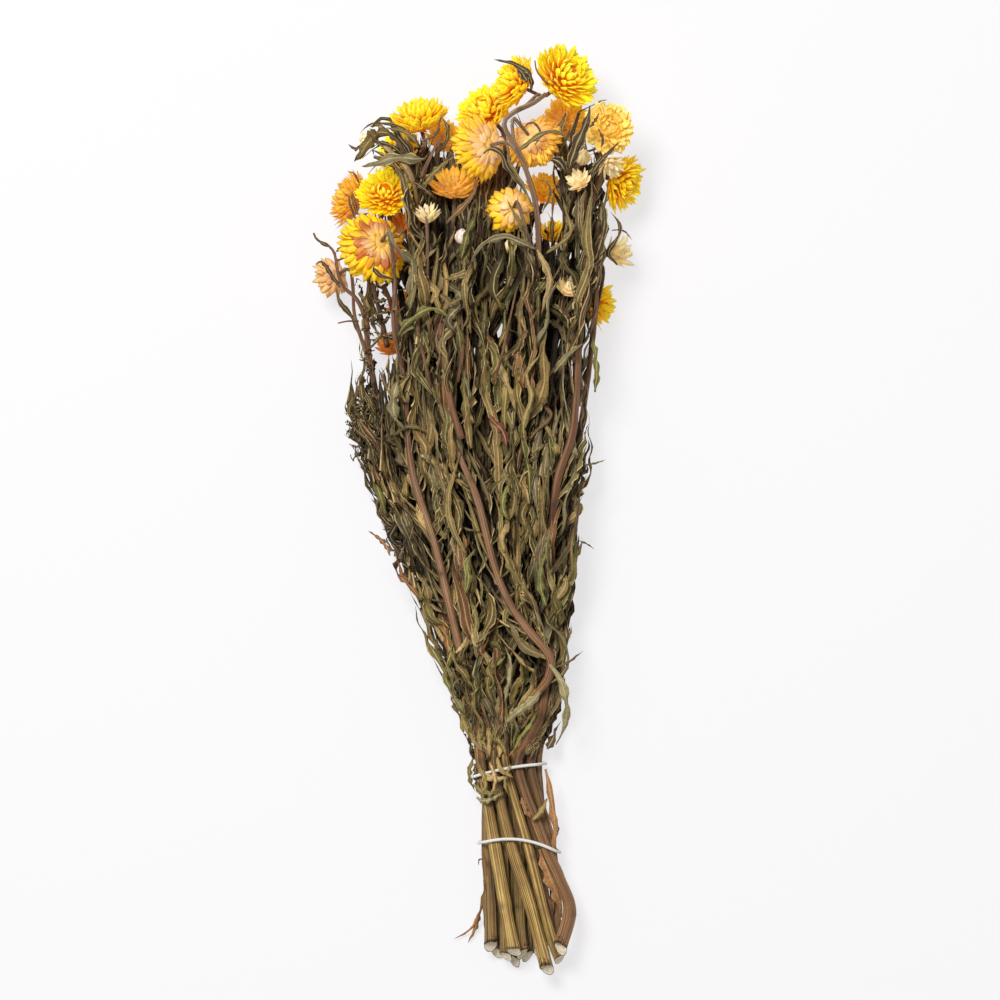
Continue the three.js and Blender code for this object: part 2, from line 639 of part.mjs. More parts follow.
function convexHull(points) {
  const sorted = [...points].sort((a, b) => a[0] - b[0] || a[1] - b[1]);
  const turn = (o, a, b) => (a[0] - o[0]) * (b[1] - o[1]) - (a[1] - o[1]) * (b[0] - o[0]);
  const chain = (list) => {
    const kept = [];
    for (const p of list) {
      while (kept.length > 1 && turn(kept.at(-2), kept.at(-1), p) <= 0) kept.pop();
      kept.push(p);
    }
    return kept.slice(0, -1);
  };
  return [...chain(sorted), ...chain([...sorted].reverse())];
}

// ---- the bunch ----
// The surface that the bunch lies on, as a slab wider than the bunch.
const ground = toSolid(new THREE.BoxGeometry(600, 900, 60).translate(0, 0, -30));

const laid = Object.entries(STEMS).map(([name, spec]) => ({ name, ...layStem(spec) }));
for (const { name, trunk, branches } of laid) {
  for (const { route, radiusAt } of [trunk, ...branches]) {
    route.stations.forEach((p, i) => take(name, p, radiusAt(i / (route.stations.length - 1))));
  }
}
for (const [name, head] of Object.entries(HEADS)) {
  for (const [centre, radius] of ballsOf(head)) take(name, centre, radius);
}

const bare = new Map();
for (const [name, head] of Object.entries(HEADS)) bare.set(name, headSolid(head));
for (const { name, trunk, branches } of laid) {
  const wood = [trunk, ...branches].map(tubeSolid);
  bare.set(name, wood.reduce((sum, part) => sum.add(part)));
}
for (const [name, spec] of Object.entries(TIES)) bare.set(name, tieSolid(spec, laid));

// Blades of each stem. One that still cuts into a neighbour is left off.
const blades = new Map(laid.map(({ name }) => [name, []]));
const cuts = (a, b) => {
  const [p, q] = [a.boundingBox(), b.boundingBox()];
  const apart = [0, 1, 2].some((k) => p.min[k] > q.max[k] || q.min[k] > p.max[k]);
  return !apart && a.intersect(b).volume() > LEAST_CUT;
};
laid.forEach(({ name, trunk, branches }, index) => {
  const draw = stream(FIRST_SEED + index);
  const firstLeaf = trunk.route.stations.findIndex((p) => p.y >= LEAF_ZONE_Y) * STATION;
  const leaves = growLeaves(name, trunk, firstLeaf, draw);
  for (const branch of branches) leaves.push(...growLeaves(name, branch, BRANCH_FIRST_LEAF, draw));
  for (const blade of leaves.map(leafSolid)) {
    const others = [...bare, ...blades].filter(([other]) => other !== name);
    const neighbours = others.flatMap(([, solids]) => solids);
    if (!neighbours.some((solid) => cuts(solid, blade))) blades.get(name).push(blade);
  }
});

const bunch = new THREE.Group();
function addNode(name, solid, finish) {
  const { vertProperties, triVerts } = largestBody(solid.subtract(ground)).getMesh();
  const geometry = new THREE.BufferGeometry()
    .setAttribute("position", new THREE.BufferAttribute(vertProperties, 3))
    .setIndex(new THREE.BufferAttribute(triVerts, 1));
  const mesh = new THREE.Mesh(geometry, new THREE.MeshStandardMaterial(FINISHES[finish]));
  mesh.name = name;
  bunch.add(mesh);
}

for (const { name } of laid) {
  const leafy = blades.get(name).reduce((sum, blade) => sum.add(blade), bare.get(name));
  addNode(name, leafy, "leafy");
}
for (const [name, { petals }] of Object.entries(HEADS)) addNode(name, bare.get(name), petals);
for (const name of Object.keys(TIES)) addNode(name, bare.get(name), "tie");

export default bunch;
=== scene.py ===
# %% [markdown]
# # A dried strawflower bunch
#
# The real thing is thirteen cut stems with hundreds of narrow curled leaves, thirty-two
# papery heads and two thin elastic ties. Everything that grows here is the same kind of
# shape: a slim closed tube, flattened or not, that follows a path. So the whole bunch is
# made from a few small tubes, each made once by mesh operators, copied many times, and
# bent by formulas. Lengths in the tables are millimetres; Blender's meshes are metres.

import json
import math

import bmesh
import bpy
import numpy as np
from mathutils import Matrix, Vector


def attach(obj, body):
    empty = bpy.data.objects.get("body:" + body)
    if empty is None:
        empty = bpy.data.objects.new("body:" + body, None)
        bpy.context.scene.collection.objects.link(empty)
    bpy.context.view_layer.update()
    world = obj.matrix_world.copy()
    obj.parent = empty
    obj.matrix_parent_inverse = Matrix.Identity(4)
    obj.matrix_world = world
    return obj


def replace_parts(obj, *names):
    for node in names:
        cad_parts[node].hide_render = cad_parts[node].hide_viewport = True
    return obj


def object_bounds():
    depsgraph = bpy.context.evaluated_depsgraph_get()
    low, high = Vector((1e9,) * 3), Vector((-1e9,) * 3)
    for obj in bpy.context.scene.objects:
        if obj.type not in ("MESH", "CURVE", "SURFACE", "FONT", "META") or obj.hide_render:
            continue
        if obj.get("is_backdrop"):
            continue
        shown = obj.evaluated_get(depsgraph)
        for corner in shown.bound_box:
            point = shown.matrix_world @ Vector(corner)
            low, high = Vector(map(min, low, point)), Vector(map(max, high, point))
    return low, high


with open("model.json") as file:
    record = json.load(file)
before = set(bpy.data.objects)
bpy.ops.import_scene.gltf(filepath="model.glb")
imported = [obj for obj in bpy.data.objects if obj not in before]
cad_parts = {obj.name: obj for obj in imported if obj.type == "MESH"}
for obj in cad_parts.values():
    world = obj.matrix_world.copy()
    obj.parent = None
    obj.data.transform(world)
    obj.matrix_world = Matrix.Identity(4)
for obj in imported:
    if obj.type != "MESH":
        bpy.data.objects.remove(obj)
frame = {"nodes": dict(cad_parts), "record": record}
CAD_BOX = [list(corner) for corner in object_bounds()]
MM = 0.001
print("frame:", len(frame["nodes"]), "solids, box", CAD_BOX)

# %% [markdown]
# ## Camera, ground and light
#
# The bunch lies on a pale table and is looked at from straight above. A long lens, far
# away, keeps the stacked heads in place against the stems below them. One large soft panel
# hangs over it, a little to the upper left, so that gaps between the leaves stay dark, and a
# bright room fills the rest. The table is lit from below, as for a catalogue picture, which
# all but hides the shadow on it.

# %% Camera
VIEW_WIDTH = 535  # what the square picture takes in, at VIEW_HEIGHT over the table
VIEW_HEIGHT = 30
VIEW_CENTRE = (11.5, 7.5)
LENS = 200
SENSOR = 36
FURTHEST_SEEN = 30  # metres

camera_data = bpy.data.cameras.new("overhead_camera")
camera_data.lens = LENS
camera_data.sensor_width = SENSOR
camera_data.clip_end = FURTHEST_SEEN
camera = bpy.data.objects.new("overhead_camera", camera_data)
camera.location = (
    VIEW_CENTRE[0] * MM,
    VIEW_CENTRE[1] * MM,
    (VIEW_HEIGHT + VIEW_WIDTH * LENS / SENSOR) * MM,
)
bpy.context.scene.collection.objects.link(camera)
bpy.context.scene.camera = camera
bpy.context.scene.view_settings.view_transform = "Standard"  # keeps the yellows pure
print("camera at", tuple(round(x, 3) for x in camera.location))

# %% Ground
GROUND_SIDE = 12
GROUND_DROP = 0.0004  # keeps it clear of the faces that rest on it
TABLE_COLOUR = (0.2, 0.198, 0.201)
TABLE_GLOW = (0.715, 0.705, 0.715)
TABLE_ROUGHNESS = 0.9

table = bpy.data.materials.new("lit_table")
table.use_nodes = True
shader = table.node_tree.nodes["Principled BSDF"]
shader.inputs["Base Color"].default_value = (*TABLE_COLOUR, 1)
shader.inputs["Roughness"].default_value = TABLE_ROUGHNESS
shader.inputs["Emission Color"].default_value = (*TABLE_GLOW, 1)
shader.inputs["Emission Strength"].default_value = 1.0

bm = bmesh.new()
bmesh.ops.create_grid(bm, x_segments=1, y_segments=1, size=GROUND_SIDE / 2)
ground_mesh = bpy.data.meshes.new("ground")
bm.to_mesh(ground_mesh)
bm.free()
ground = bpy.data.objects.new("ground", ground_mesh)
ground.location.z = -GROUND_DROP
ground_mesh.materials.append(table)
bpy.context.scene.collection.objects.link(ground)
ground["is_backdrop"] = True
print("ground", GROUND_SIDE, "m wide")

# %% Light
PANEL_PLACE = Vector((-0.5, 0.8, 2.0))  # metres
PANEL_SIDE = 0.7
PANEL_WATTS = 50
ROOM_BRIGHTNESS = 0.34

panel_light = bpy.data.lights.new("window_light", "AREA")
panel_light.shape = "SQUARE"
panel_light.size = PANEL_SIDE
panel_light.energy = PANEL_WATTS
panel = bpy.data.objects.new("window_light", panel_light)
panel.location = PANEL_PLACE
panel.rotation_mode = "QUATERNION"
panel.rotation_quaternion = (-PANEL_PLACE).to_track_quat("-Z", "Y")  # faces the bunch
bpy.context.scene.collection.objects.link(panel)

room = bpy.data.worlds.new("bright_room")
room.use_nodes = True
room.node_tree.nodes["Background"].inputs["Color"].default_value = (1, 1, 1, 1)
room.node_tree.nodes["Background"].inputs["Strength"].default_value = ROOM_BRIGHTNESS
bpy.context.scene.world = room
print("lit by a soft panel and the room")

# %% [markdown]
# ## The bunch's own measures
#
# Each head has the place of its widest ring, the way it faces, its width, how far it is
# open and its colours. Each stem has its thickness at the cut end, the points that it
# passes, the head that it carries and its side branches.

# %% Heads
# at, aim, width, form, colours, and how broad its bracts are
HEADS = {
    "bloom_01": ((47, 233, 50), (0.55, 0.5, 0.65), 38, "open", "lemon", 1.0),
    "bloom_02": ((18, 229, 58), (-0.75, 0.35, 0.3), 32, "open", "golden", 1.0),
    "bloom_03": ((3, 216, 33), (-0.55, 0.6, 0.55), 35, "open", "lemon", 1.0),
    "bloom_04": ((0, 194, 58), (-0.6, -0.1, -0.55), 36, "open", "cream_gold", 1.1),
    "bloom_05": ((30, 197, 52), (0.35, -0.4, -0.6), 32, "open", "amber", 1.1),
    "bloom_06": ((69, 205, 52), (0.3, 0.1, 0.9), 30, "open", "rose", 1.3),
    "bloom_07": ((47, 212, 20), (0.2, 0.4, -0.6), 27, "small", "orange", 1.0),
    "bloom_08": ((78, 177, 30), (0.8, -0.25, 0.35), 31, "open", "golden", 1.0),
    "bloom_09": ((-32, 212, 46), (-0.2, 0.85, 0.25), 34, "open", "golden", 1.0),
    "bloom_10": ((-43, 195, 24), (-0.6, 0.4, 0.5), 29, "small", "lemon", 1.0),
    "bloom_11": ((-18, 203, 16), (0.2, 0.5, -0.4), 23, "small", "orange", 1.0),
    "bloom_12": ((-70, 169, 27), (-0.75, 0.25, 0.1), 31, "open", "rust_gold", 1.0),
    "bloom_13": ((-50, 171, 44), (-0.1, 0.5, 0.7), 31, "open", "lemon", 0.9),
    "bloom_14": ((-56, 141, 55), (-0.35, -0.25, -0.6), 40, "open", "back_rust", 1.0),
    "bloom_15": ((-38, 154, 24), (0.3, 0.6, -0.2), 24, "small", "rust", 1.0),
    "bloom_16": ((-79, 127, 20), (-0.5, -0.2, -0.5), 23, "small", "tan", 1.1),
    "bloom_17": ((-41, 114, 8), (-0.4, 0.8, 0.2), 21, "small", "rust", 1.0),
    "bloom_18": ((-48, 92, 7), (-0.5, 0.6, 0.3), 17, "half", "rust", 1.0),
    "bloom_19": ((-13, 176, 44), (0, 0.8, 0.4), 28, "open", "amber", 1.0),
    "bloom_20": ((17, 162, 50), (-0.2, -0.1, -0.7), 26, "small", "cream_gold", 1.3),
    "bloom_21": ((41, 152, 9), (0.1, 0.9, 0.2), 23, "small", "golden", 0.9),
    "bloom_22": ((66, 112, 10.6), (0.85, -0.15, 0.2), 25, "small", "golden", 1.0),
    "bloom_23": ((37, 175, 11), (0.3, 0.8, 0.4), 26, "small", "orange", 1.0),
    "bloom_24": ((76, 141, 22), (0.6, 0.2, 0.3), 19, "small", "cream", 1.0),
    "bud_01": ((71, 184, 54), (0.4, -0.6, 0.3), 15, "half", "cream", 1.0),
    "bud_02": ((53, 177, 58), (-0.3, 0.5, 0.6), 14, "half", "cream", 1.0),
    "bud_03": ((-27, 160, 59), (0, 1, 0.1), 15, "half", "cream", 1.0),
    "bud_04": ((-9, 148, 50), (0.1, 1, 0.2), 8.5, "bud", "pearl", 1.0),
    "bud_05": ((17, 143, 46), (0, 1, 0.2), 8.5, "bud", "cream", 1.0),
    "bud_06": ((48, 121, 54), (0.3, 0.6, 0.5), 15, "half", "cream", 1.0),
    "bud_07": ((-60, 199, 52), (-0.8, -0.4, 0.2), 8.5, "bud", "cream", 1.0),
    "bud_08": ((56, 190, 49), (0.3, 0.6, 0.4), 9.5, "bud", "cream", 1.0),
}
print(len(HEADS), "heads")

# %% Stems
# radius at the cut end, route, head, branches: (height where it starts, route, head)
STEMS = {
    "stem_01": (
        4.1,
        [(19.5, -238, 19.6), (13.8, -207, 19.8), (8.6, -177, 20), (1.8, -137, 17.9),
         (0, -119, 20.7), (-5, -93, 27.2), (-13, -59, 35.2), (-23, -17, 43.2), (-35, 22, 46.2),
         (-39, 61, 46.2), (-44, 110, 43.2), (-46, 145, 35.2)],
        "bloom_13",
        [(75, [(-45, 100, 57.2), (-44, 125, 67.2)], "bloom_14"),
         (118, [(-34, 150, 49.2), (-33, 178, 55.2), (-44, 199, 56.2)], "bud_07")],
    ),
    "stem_02": (
        3.9,
        [(37.7, -248, 19.8), (26.9, -207, 19.6), (17.4, -177, 20), (8.4, -137, 18),
         (8, -110, 22.7), (2, -75, 29.2), (-6, -35, 35.2), (-16, 10, 39.2), (-25, 55, 43.2),
         (-28, 105, 47.2), (-31, 150, 43.2), (-31, 190, 42.2)],
        "bloom_09",
        [(95, [(-27, 130, 56.2)], "bud_03")],
    ),
    "stem_03": (
        3.6,
        [(24, -240, 12.4), (22, -207, 12), (21.8, -177, 12.6), (18.3, -137, 11.8),
         (19.5, -125, 14.7), (22.5, -112, 21.2), (29, -98, 29.7), (37, -88, 35.2),
         (38, -76, 39.2), (26, -61, 42.2), (15.8, -46, 44.2), (8, -26, 46.2),
         (-0.5, 7.5, 49.2), (-10, 30.5, 50.2), (-16, 45, 51.2), (-17, 82, 51.2),
         (-15, 120, 48.2), (-14, 150, 39.2)],
        "bloom_19",
        [(95, [(-10, 120, 53.2)], "bud_04")],
    ),
    "stem_04": (
        3.3,
        [(44.7, -242, 13.7), (38.2, -224, 16.7), (26.3, -177, 20), (15, -137, 18),
         (14, -112, 22.2), (15, -80, 26.2), (18, -46, 30.2), (22, 7, 36.2), (27, 60, 41.2),
         (31, 105, 47.2), (32, 141, 57.2), (30, 166, 65.2), (22, 190, 69.2),
         (13.6, 205, 72.2), (18.7, 212, 71.2), (28.6, 217, 66.2), (35, 222, 59.2)],
        "bloom_01",
        [(120, [(28, 140, 63.2)], "bloom_20"),
         (181, [(18, 194, 72.2)], "bloom_04"),
         (195, [(18, 209, 71.2)], "bloom_05"),
         (214, [(31, 222, 61.2)], "bloom_02")],
    ),
    "stem_05": (
        4.0,
        [(42.5, -236, 23), (49, -213, 20.2), (43, -195, 19.8), (35, -177, 19.8),
         (21.6, -137, 17.9), (26.5, -122, 20.7), (34, -105, 23.2), (36, -70, 27.2),
         (38, -20, 36.2), (42, 17, 43.2), (49.5, 40, 46.2), (52, 60, 48.2), (54, 100, 49.2),
         (57, 140, 48.2), (61, 170, 43.2), (65, 195, 38.2)],
        "bloom_06",
        [(80, [(48, 105, 51.2)], "bud_06"),
         (145, [(56, 160, 54.2)], "bud_02"),
         (160, [(66, 182, 51.2)], "bud_01")],
    ),
    "stem_06": (
        3.7,
        [(6.8, -236, 12.6), (6.2, -212, 12.4), (4.6, -177, 12.4), (5, -137, 11.8),
         (0, -112, 14.2), (-15, -70, 19.2), (-31, -25, 23.2), (-45, 20, 25.2),
         (-54, 60, 25.2), (-60, 100, 25.2), (-56, 140, 25.2), (-52, 160, 26.2)],
        "bloom_12",
        [(75, [(-66, 105, 29.2), (-67, 120, 33.2)], "bloom_16"),
         (-45, [(-42, -8, 19.2), (-54, 22, 16.2), (-66, 48, 19.2)], None)],
    ),
    "stem_07": (
        3.5,
        [(14.6, -241, 12.2), (14, -207, 12.2), (13, -177, 12.4), (11.7, -137, 11.8),
         (5, -105, 16.7), (-2, -60, 20.2), (-10, -15, 22.2), (-22, 30, 24.2),
         (-30, 75, 24.2), (-32, 115, 22.2), (-29, 150, 15.2), (-32, 180, 13.2)],
        "bloom_10",
        [(105, [(-38, 128, 26.2)], "bloom_15"),
         (145, [(-22, 175, 23.2)], "bloom_11")],
    ),
    "stem_08": (
        3.9,
        [(18.5, -245, 5.6), (18, -210, 5.4), (17.5, -177, 5.3), (14, -137, 5.6),
         (14, -115, 9.7), (13, -95, 14.7), (9.5, -55, 21.2), (7, -5, 26.2), (4, 50, 29.2),
         (4, 100, 31.2), (6, 150, 31.2), (12, 180, 25.2), (14, 200, 23.2)],
        "bloom_03",
        [(95, [(12, 122, 41.2)], "bud_05")],
    ),
    "stem_09": (
        3.4,
        [(33, -239, 12.7), (32, -207, 12.2), (30.6, -177, 12.4), (25, -137, 11.8),
         (26, -100, 13.2), (26, -50, 19.2), (30, 0, 23.2), (36, 50, 25.2), (42, 100, 29.2),
         (46, 150, 33.2), (45, 180, 35.2), (43, 198, 35.2)],
        "bloom_07",
        [(145, [(51, 172, 40.2)], "bud_08")],
    ),
    "stem_10": (
        3.2,
        [(42.7, -240, 5.8), (41, -207, 9.7), (38.8, -177, 12.4), (28.4, -137, 17.9),
         (33, -118, 15.7), (38, -95, 15.2), (43, -60, 18.2), (47, -10, 21.2), (54, 40, 23.2),
         (60, 85, 27.2), (63, 120, 28.2), (62, 155, 26.2), (61, 176, 25.2)],
        "bloom_08",
        [(100, [(67, 129, 22.2)], "bloom_24")],
    ),
    "stem_11": (
        3.7,
        [(10, -240, 5.3), (9.5, -207, 5.2), (9, -177, 5.2), (6, -137, 5.6),
         (-2, -100, 7.2), (-15, -55, 9.2), (-28, -5, 10.2), (-36, 40, 10.7), (-37, 72, 10.2),
         (-37, 95, 9.2)],
        "bloom_17",
        [(55, [(-41, 74, 8.2)], "bloom_18")],
    ),
    "stem_12": (
        3.8,
        [(26.8, -242, 5.5), (26.5, -207, 5.4), (26, -177, 5.3), (22, -137, 5.6),
         (20, -100, 6.7), (16, -50, 9.2), (20, 0, 10.2), (26, 50, 10.2), (26, 100, 9.2),
         (26, 140, 7.2), (28, 158, 7.2)],
        "bloom_23",
        [(100, [(35, 130, 8.2)], "bloom_21")],
    ),
    "stem_13": (
        3.7,
        [(35, -237, 5.4), (34.5, -207, 5.4), (34.5, -177, 5.3), (31.5, -137, 11.8),
         (33, -120, 8.7), (34, -100, 7.2), (36, -50, 9.2), (43, 0, 10.2), (50, 45, 11.2),
         (52, 80, 10.2), (50, 104, 9.2)],
        "bloom_22",
        [],
    ),
}
print(len(STEMS), "stems with", sum(len(spec[3]) for spec in STEMS.values()), "branches")

# %% [markdown]
# ## Routes
#
# A stem is a smooth curve through its points. Blender's own curves would do, but leaves
# also have to know where their stem is and which way is up there, so each route is worked
# out once as stations a few millimetres apart.

# %% Smooth routes
STATION = 3
FINE_STEPS = 16
SEAT_GAP = 0.3
STEEP = 0.95  # past this a route counts as upright
STALK_LONGEST, STALK_SHARE = 9, 0.45  # the straight stretch under a head, and its share of the width
SEATS = {"open": 0.5, "small": 0.5, "half": 0.8, "bud": 1.1}


def unit(v):
    v = np.asarray(v, float)
    return v / np.linalg.norm(v, axis=-1, keepdims=True)


def dot(a, b):
    return (a * b).sum(-1, keepdims=True)


def route_through(points):
    """Stations STATION apart on a smooth curve through the points, and its length."""
    p = np.array([tuple(q) for q in points], float)
    p = np.vstack([2 * p[0] - p[1], p, 2 * p[-1] - p[-2]])
    t = np.arange(FINE_STEPS)[:, None] / FINE_STEPS
    dense = []
    for a, b, c, d in zip(p, p[1:], p[2:], p[3:]):
        leave, reach = (c - a) / 2, (d - b) / 2
        dense.append(
            b + leave * t + (3 * (c - b) - 2 * leave - reach) * t**2
            + (2 * (b - c) + leave + reach) * t**3
        )
    dense = np.vstack([*dense, p[-2]])
    run = np.concatenate([[0], np.cumsum(np.linalg.norm(np.diff(dense, axis=0), axis=1))])
    at = np.append(np.arange(0, run[-1], STATION), run[-1])
    stations = np.stack([np.interp(at, run, dense[:, k]) for k in range(3)], axis=1)
    return {"stations": stations, "length": run[-1]}


def frame_at(route, distance):
    """Place, along, up and side of a route at some distances along it."""
    stations = route["stations"]
    ends = len(stations) - 1
    distance = np.atleast_1d(np.asarray(distance, float))
    i = np.clip(np.floor(distance / STATION).astype(int), 0, ends - 1)
    span = np.where(i == ends - 1, route["length"] - i * STATION, STATION)
    share = ((distance - i * STATION) / span)[:, None]
    place = stations[i] * (1 - share) + stations[i + 1] * share
    along = unit(stations[np.minimum(ends, i + 2)] - stations[np.maximum(0, i - 1)])
    rise = np.where(np.abs(along[:, 2:]) > STEEP, [[1.0, 0, 0]], [[0, 0, 1.0]])
    up = unit(rise - along * dot(rise, along))
    return place, along, up, np.cross(along, up)


def approach(name):
    """The last two points of a route: straight into the seat of its head."""
    if not name:
        return []
    at, aim, width, form = HEADS[name][:4]
    aim = unit(aim)
    seat = np.array(at) - aim * SEATS[form] * width / 2
    stalk = min(STALK_LONGEST, width * STALK_SHARE)
    return [seat - aim * stalk, seat - aim * SEAT_GAP]


# %% Lay the stems
TIP_RADIUS = 1.15
TAPER_POWER = 0.8
BRANCH_SHARE, BRANCH_TIP = 0.72, 1.0
BRANCH_LEAD = 3  # stations that a branch runs along inside its stem
TRUNK_SIDES, BRANCH_SIDES = 5, 4  # how many ways round the leaves stand

AXES = []  # one for each trunk and branch


def lay_stem(name, radius, route, head, branches):
    trunk = route_through([*route, *approach(head)])
    taper = lambda share: radius + (TIP_RADIUS - radius) * share**TAPER_POWER
    AXES.append({"stem": name, "route": trunk, "radius": taper, "turn": 2 / 5,
                 "sides": TRUNK_SIDES})
    stations = trunk["stations"]
    for start, points, carried in branches:
        index = int(np.argmax(stations[:, 1] >= start))
        foot = taper(index / (len(stations) - 1)) * BRANCH_SHARE
        start_at = [stations[index - BRANCH_LEAD], stations[index]]
        way = route_through([*start_at, *points, *approach(carried)])
        slimmer = lambda share, foot=foot: foot + (BRANCH_TIP - foot) * share
        AXES.append({"stem": name, "route": way, "radius": slimmer, "turn": 1 / 4,
                     "sides": BRANCH_SIDES})


def axes_of(stem_name):
    """A stem's trunk, and then its branches."""
    return [axis for axis in AXES if axis["stem"] == stem_name]


for stem_name, stem_spec in STEMS.items():
    lay_stem(stem_name, *stem_spec)
TRUNKS = [axis for axis in AXES if axis["sides"] == TRUNK_SIDES]
print(len(AXES), "stems and branches,", round(sum(a["route"]["length"] for a in AXES)), "mm")

# %% [markdown]
# ## Patterns
#
# A pattern is a closed tube one unit long and one unit in radius, cut into rings. Every
# blade, bract and stem starts as a copy of one. The numbers that the formulas need are read
# from the tube itself: how far along it a vertex lies, and where it lies round it.


# %% Tube patterns
def tube_pattern(name, sides, rings, inset=()):
    """A closed tube, with a corner at angle 0. Its ends can be inset, for a cut face."""
    bm = bmesh.new()
    bmesh.ops.create_cone(
        bm, cap_ends=True, segments=sides, radius1=1, radius2=1, depth=1
    )
    rails = [e for e in bm.edges if abs(e.verts[0].co.z - e.verts[1].co.z) > 0.5]
    bmesh.ops.subdivide_edges(bm, edges=rails, cuts=rings, use_grid_fill=True)
    for thickness in inset:
        caps = [f for f in bm.faces if len(f.verts) == sides]
        bmesh.ops.inset_region(bm, faces=caps, thickness=thickness, use_even_offset=True)
        for cap in caps:
            cap.material_index = 1
    mesh = bpy.data.meshes.new(name)
    bm.to_mesh(mesh)
    bm.free()
    co = np.zeros(len(mesh.vertices) * 3)
    mesh.vertices.foreach_get("co", co)
    x, y, z = co.reshape(-1, 3).T
    print(name, len(mesh.vertices), "vertices", len(mesh.polygons), "faces")
    return {
        "mesh": mesh,
        "share": np.clip(z + 0.5, 0, 1),
        "angle": np.arctan2(-x, y),
        "reach": np.hypot(x, y),
    }


LEAF_PATTERN = tube_pattern("leaf_pattern", 8, 16)
FILL_PATTERN = tube_pattern("fill_pattern", 6, 12)
CRUMB_PATTERN = tube_pattern("crumb_pattern", 6, 6)
BRACT_PATTERN = tube_pattern("bract_pattern", 6, 4)


# %% From copies to a piece
def make_piece(name, copies, materials, slot, *nodes):
    """Joins copies of patterns into one piece: each copy is (pattern, places, attributes)."""
    bm = bmesh.new()
    for pattern, _, _ in copies:
        bm.from_mesh(pattern["mesh"], face_normals=False, vertex_normals=False)
    mesh = bpy.data.meshes.new(name)
    bm.to_mesh(mesh)
    bm.free()
    places = np.concatenate([places.reshape(-1, 3) for _, places, _ in copies])
    places[:, 2] = places[:, 2].clip(0)  # what lies on the table is pressed flat
    mesh.vertices.foreach_set("co", (places * MM).ravel())
    for key in copies[0][2]:
        values = np.concatenate([looks[key].reshape(-1, 4) for _, _, looks in copies])
        layer = mesh.attributes.new(key, "FLOAT_COLOR", "POINT")
        layer.data.foreach_set("color", values.astype(np.float32).ravel())
    mesh.shade_smooth()
    for material in materials:
        mesh.materials.append(material)
    mesh.update()
    piece = bpy.data.objects.new(name, mesh)
    bpy.context.scene.collection.objects.link(piece)
    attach(piece, "root")
    if nodes:
        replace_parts(piece, *nodes)
    return piece


# %% [markdown]
# ## Finishes
#
# Dried plants are matt and streaked along their length, and their colour wanders in
# blotches. Two node groups make those effects, and the finishes of all that grew use them
# with their own values. The fibres follow each leaf, stem and bract, because they read
# attributes that are stored on the mesh when it is bent, and not the space around it.


# %% Colours
def srgb(r, g, b):
    """A colour as it is seen on a screen, as the linear numbers that Blender works in."""
    c = np.array([r, g, b], float) / 255
    return np.where(c <= 0.04045, c / 12.92, ((c + 0.055) / 1.055) ** 2.4)


# %% Node helpers
def add(tree, kind, **settings):
    node = tree.nodes.new(kind)
    for key, value in settings.items():
        setattr(node, key, value)
    return node


def wire(tree, source, target):
    tree.links.new(source, target)


def feed(tree, socket, value):
    """Gives a socket a number, a colour or what another node puts out."""
    if isinstance(value, (int, float)):
        socket.default_value = value
    elif isinstance(value, np.ndarray):
        socket.default_value = (*value, 1)
    else:
        wire(tree, value, socket)


def maths(tree, operation, *values):
    node = add(tree, "ShaderNodeMath", operation=operation)
    for socket, value in zip(node.inputs, values):
        feed(tree, socket, value)
    return node.outputs[0]


def times(tree, a, b):
    return maths(tree, "MULTIPLY", a, b)


def plus(tree, a, b):
    return maths(tree, "ADD", a, b)


def less(tree, a, b):
    return maths(tree, "SUBTRACT", a, b)


def blend_colours(tree, share, first, second, kind="MIX"):
    node = add(tree, "ShaderNodeMix", data_type="RGBA", blend_type=kind)
    for number, value in ((0, share), (6, first), (7, second)):  # its sockets for colours
        feed(tree, node.inputs[number], value)
    return node.outputs[2]


def shaded(tree, colour, value):
    """A colour multiplied by a value, to darken or lighten it."""
    grey = add(tree, "ShaderNodeCombineColor")
    for socket in grey.inputs[:3]:
        wire(tree, value, socket)
    return blend_colours(tree, 1.0, colour, grey.outputs[0], "MULTIPLY")


def between(tree, value, low, high):
    """0 under low, 1 over high, smooth between them."""
    node = add(tree, "ShaderNodeMapRange", interpolation_type="SMOOTHSTEP")
    wire(tree, value, node.inputs["Value"])
    node.inputs["From Min"].default_value = low
    node.inputs["From Max"].default_value = high
    return node.outputs["Result"]


def new_group(name, inputs, outputs):
    group = bpy.data.node_groups.new(name, "ShaderNodeTree")
    for label, kind, value in inputs:
        socket = group.interface.new_socket(label, in_out="INPUT", socket_type=kind)
        socket.default_value = value
    for label, kind in outputs:
        group.interface.new_socket(label, in_out="OUTPUT", socket_type=kind)
    return group, add(group, "NodeGroupInput"), add(group, "NodeGroupOutput")


def place_group(tree, group, **values):
    node = add(tree, "ShaderNodeGroup", node_tree=group)
    for label, value in values.items():
        feed(tree, node.inputs[label], value)
    return node


# %% The fibres that run along a leaf, stem or bract
FLOAT = "NodeSocketFloat"
STREAK_LIMITS = (0.32, 0.68)
TINT_SHIFT = 37.0  # sets the fibres of two leaves of different tints apart

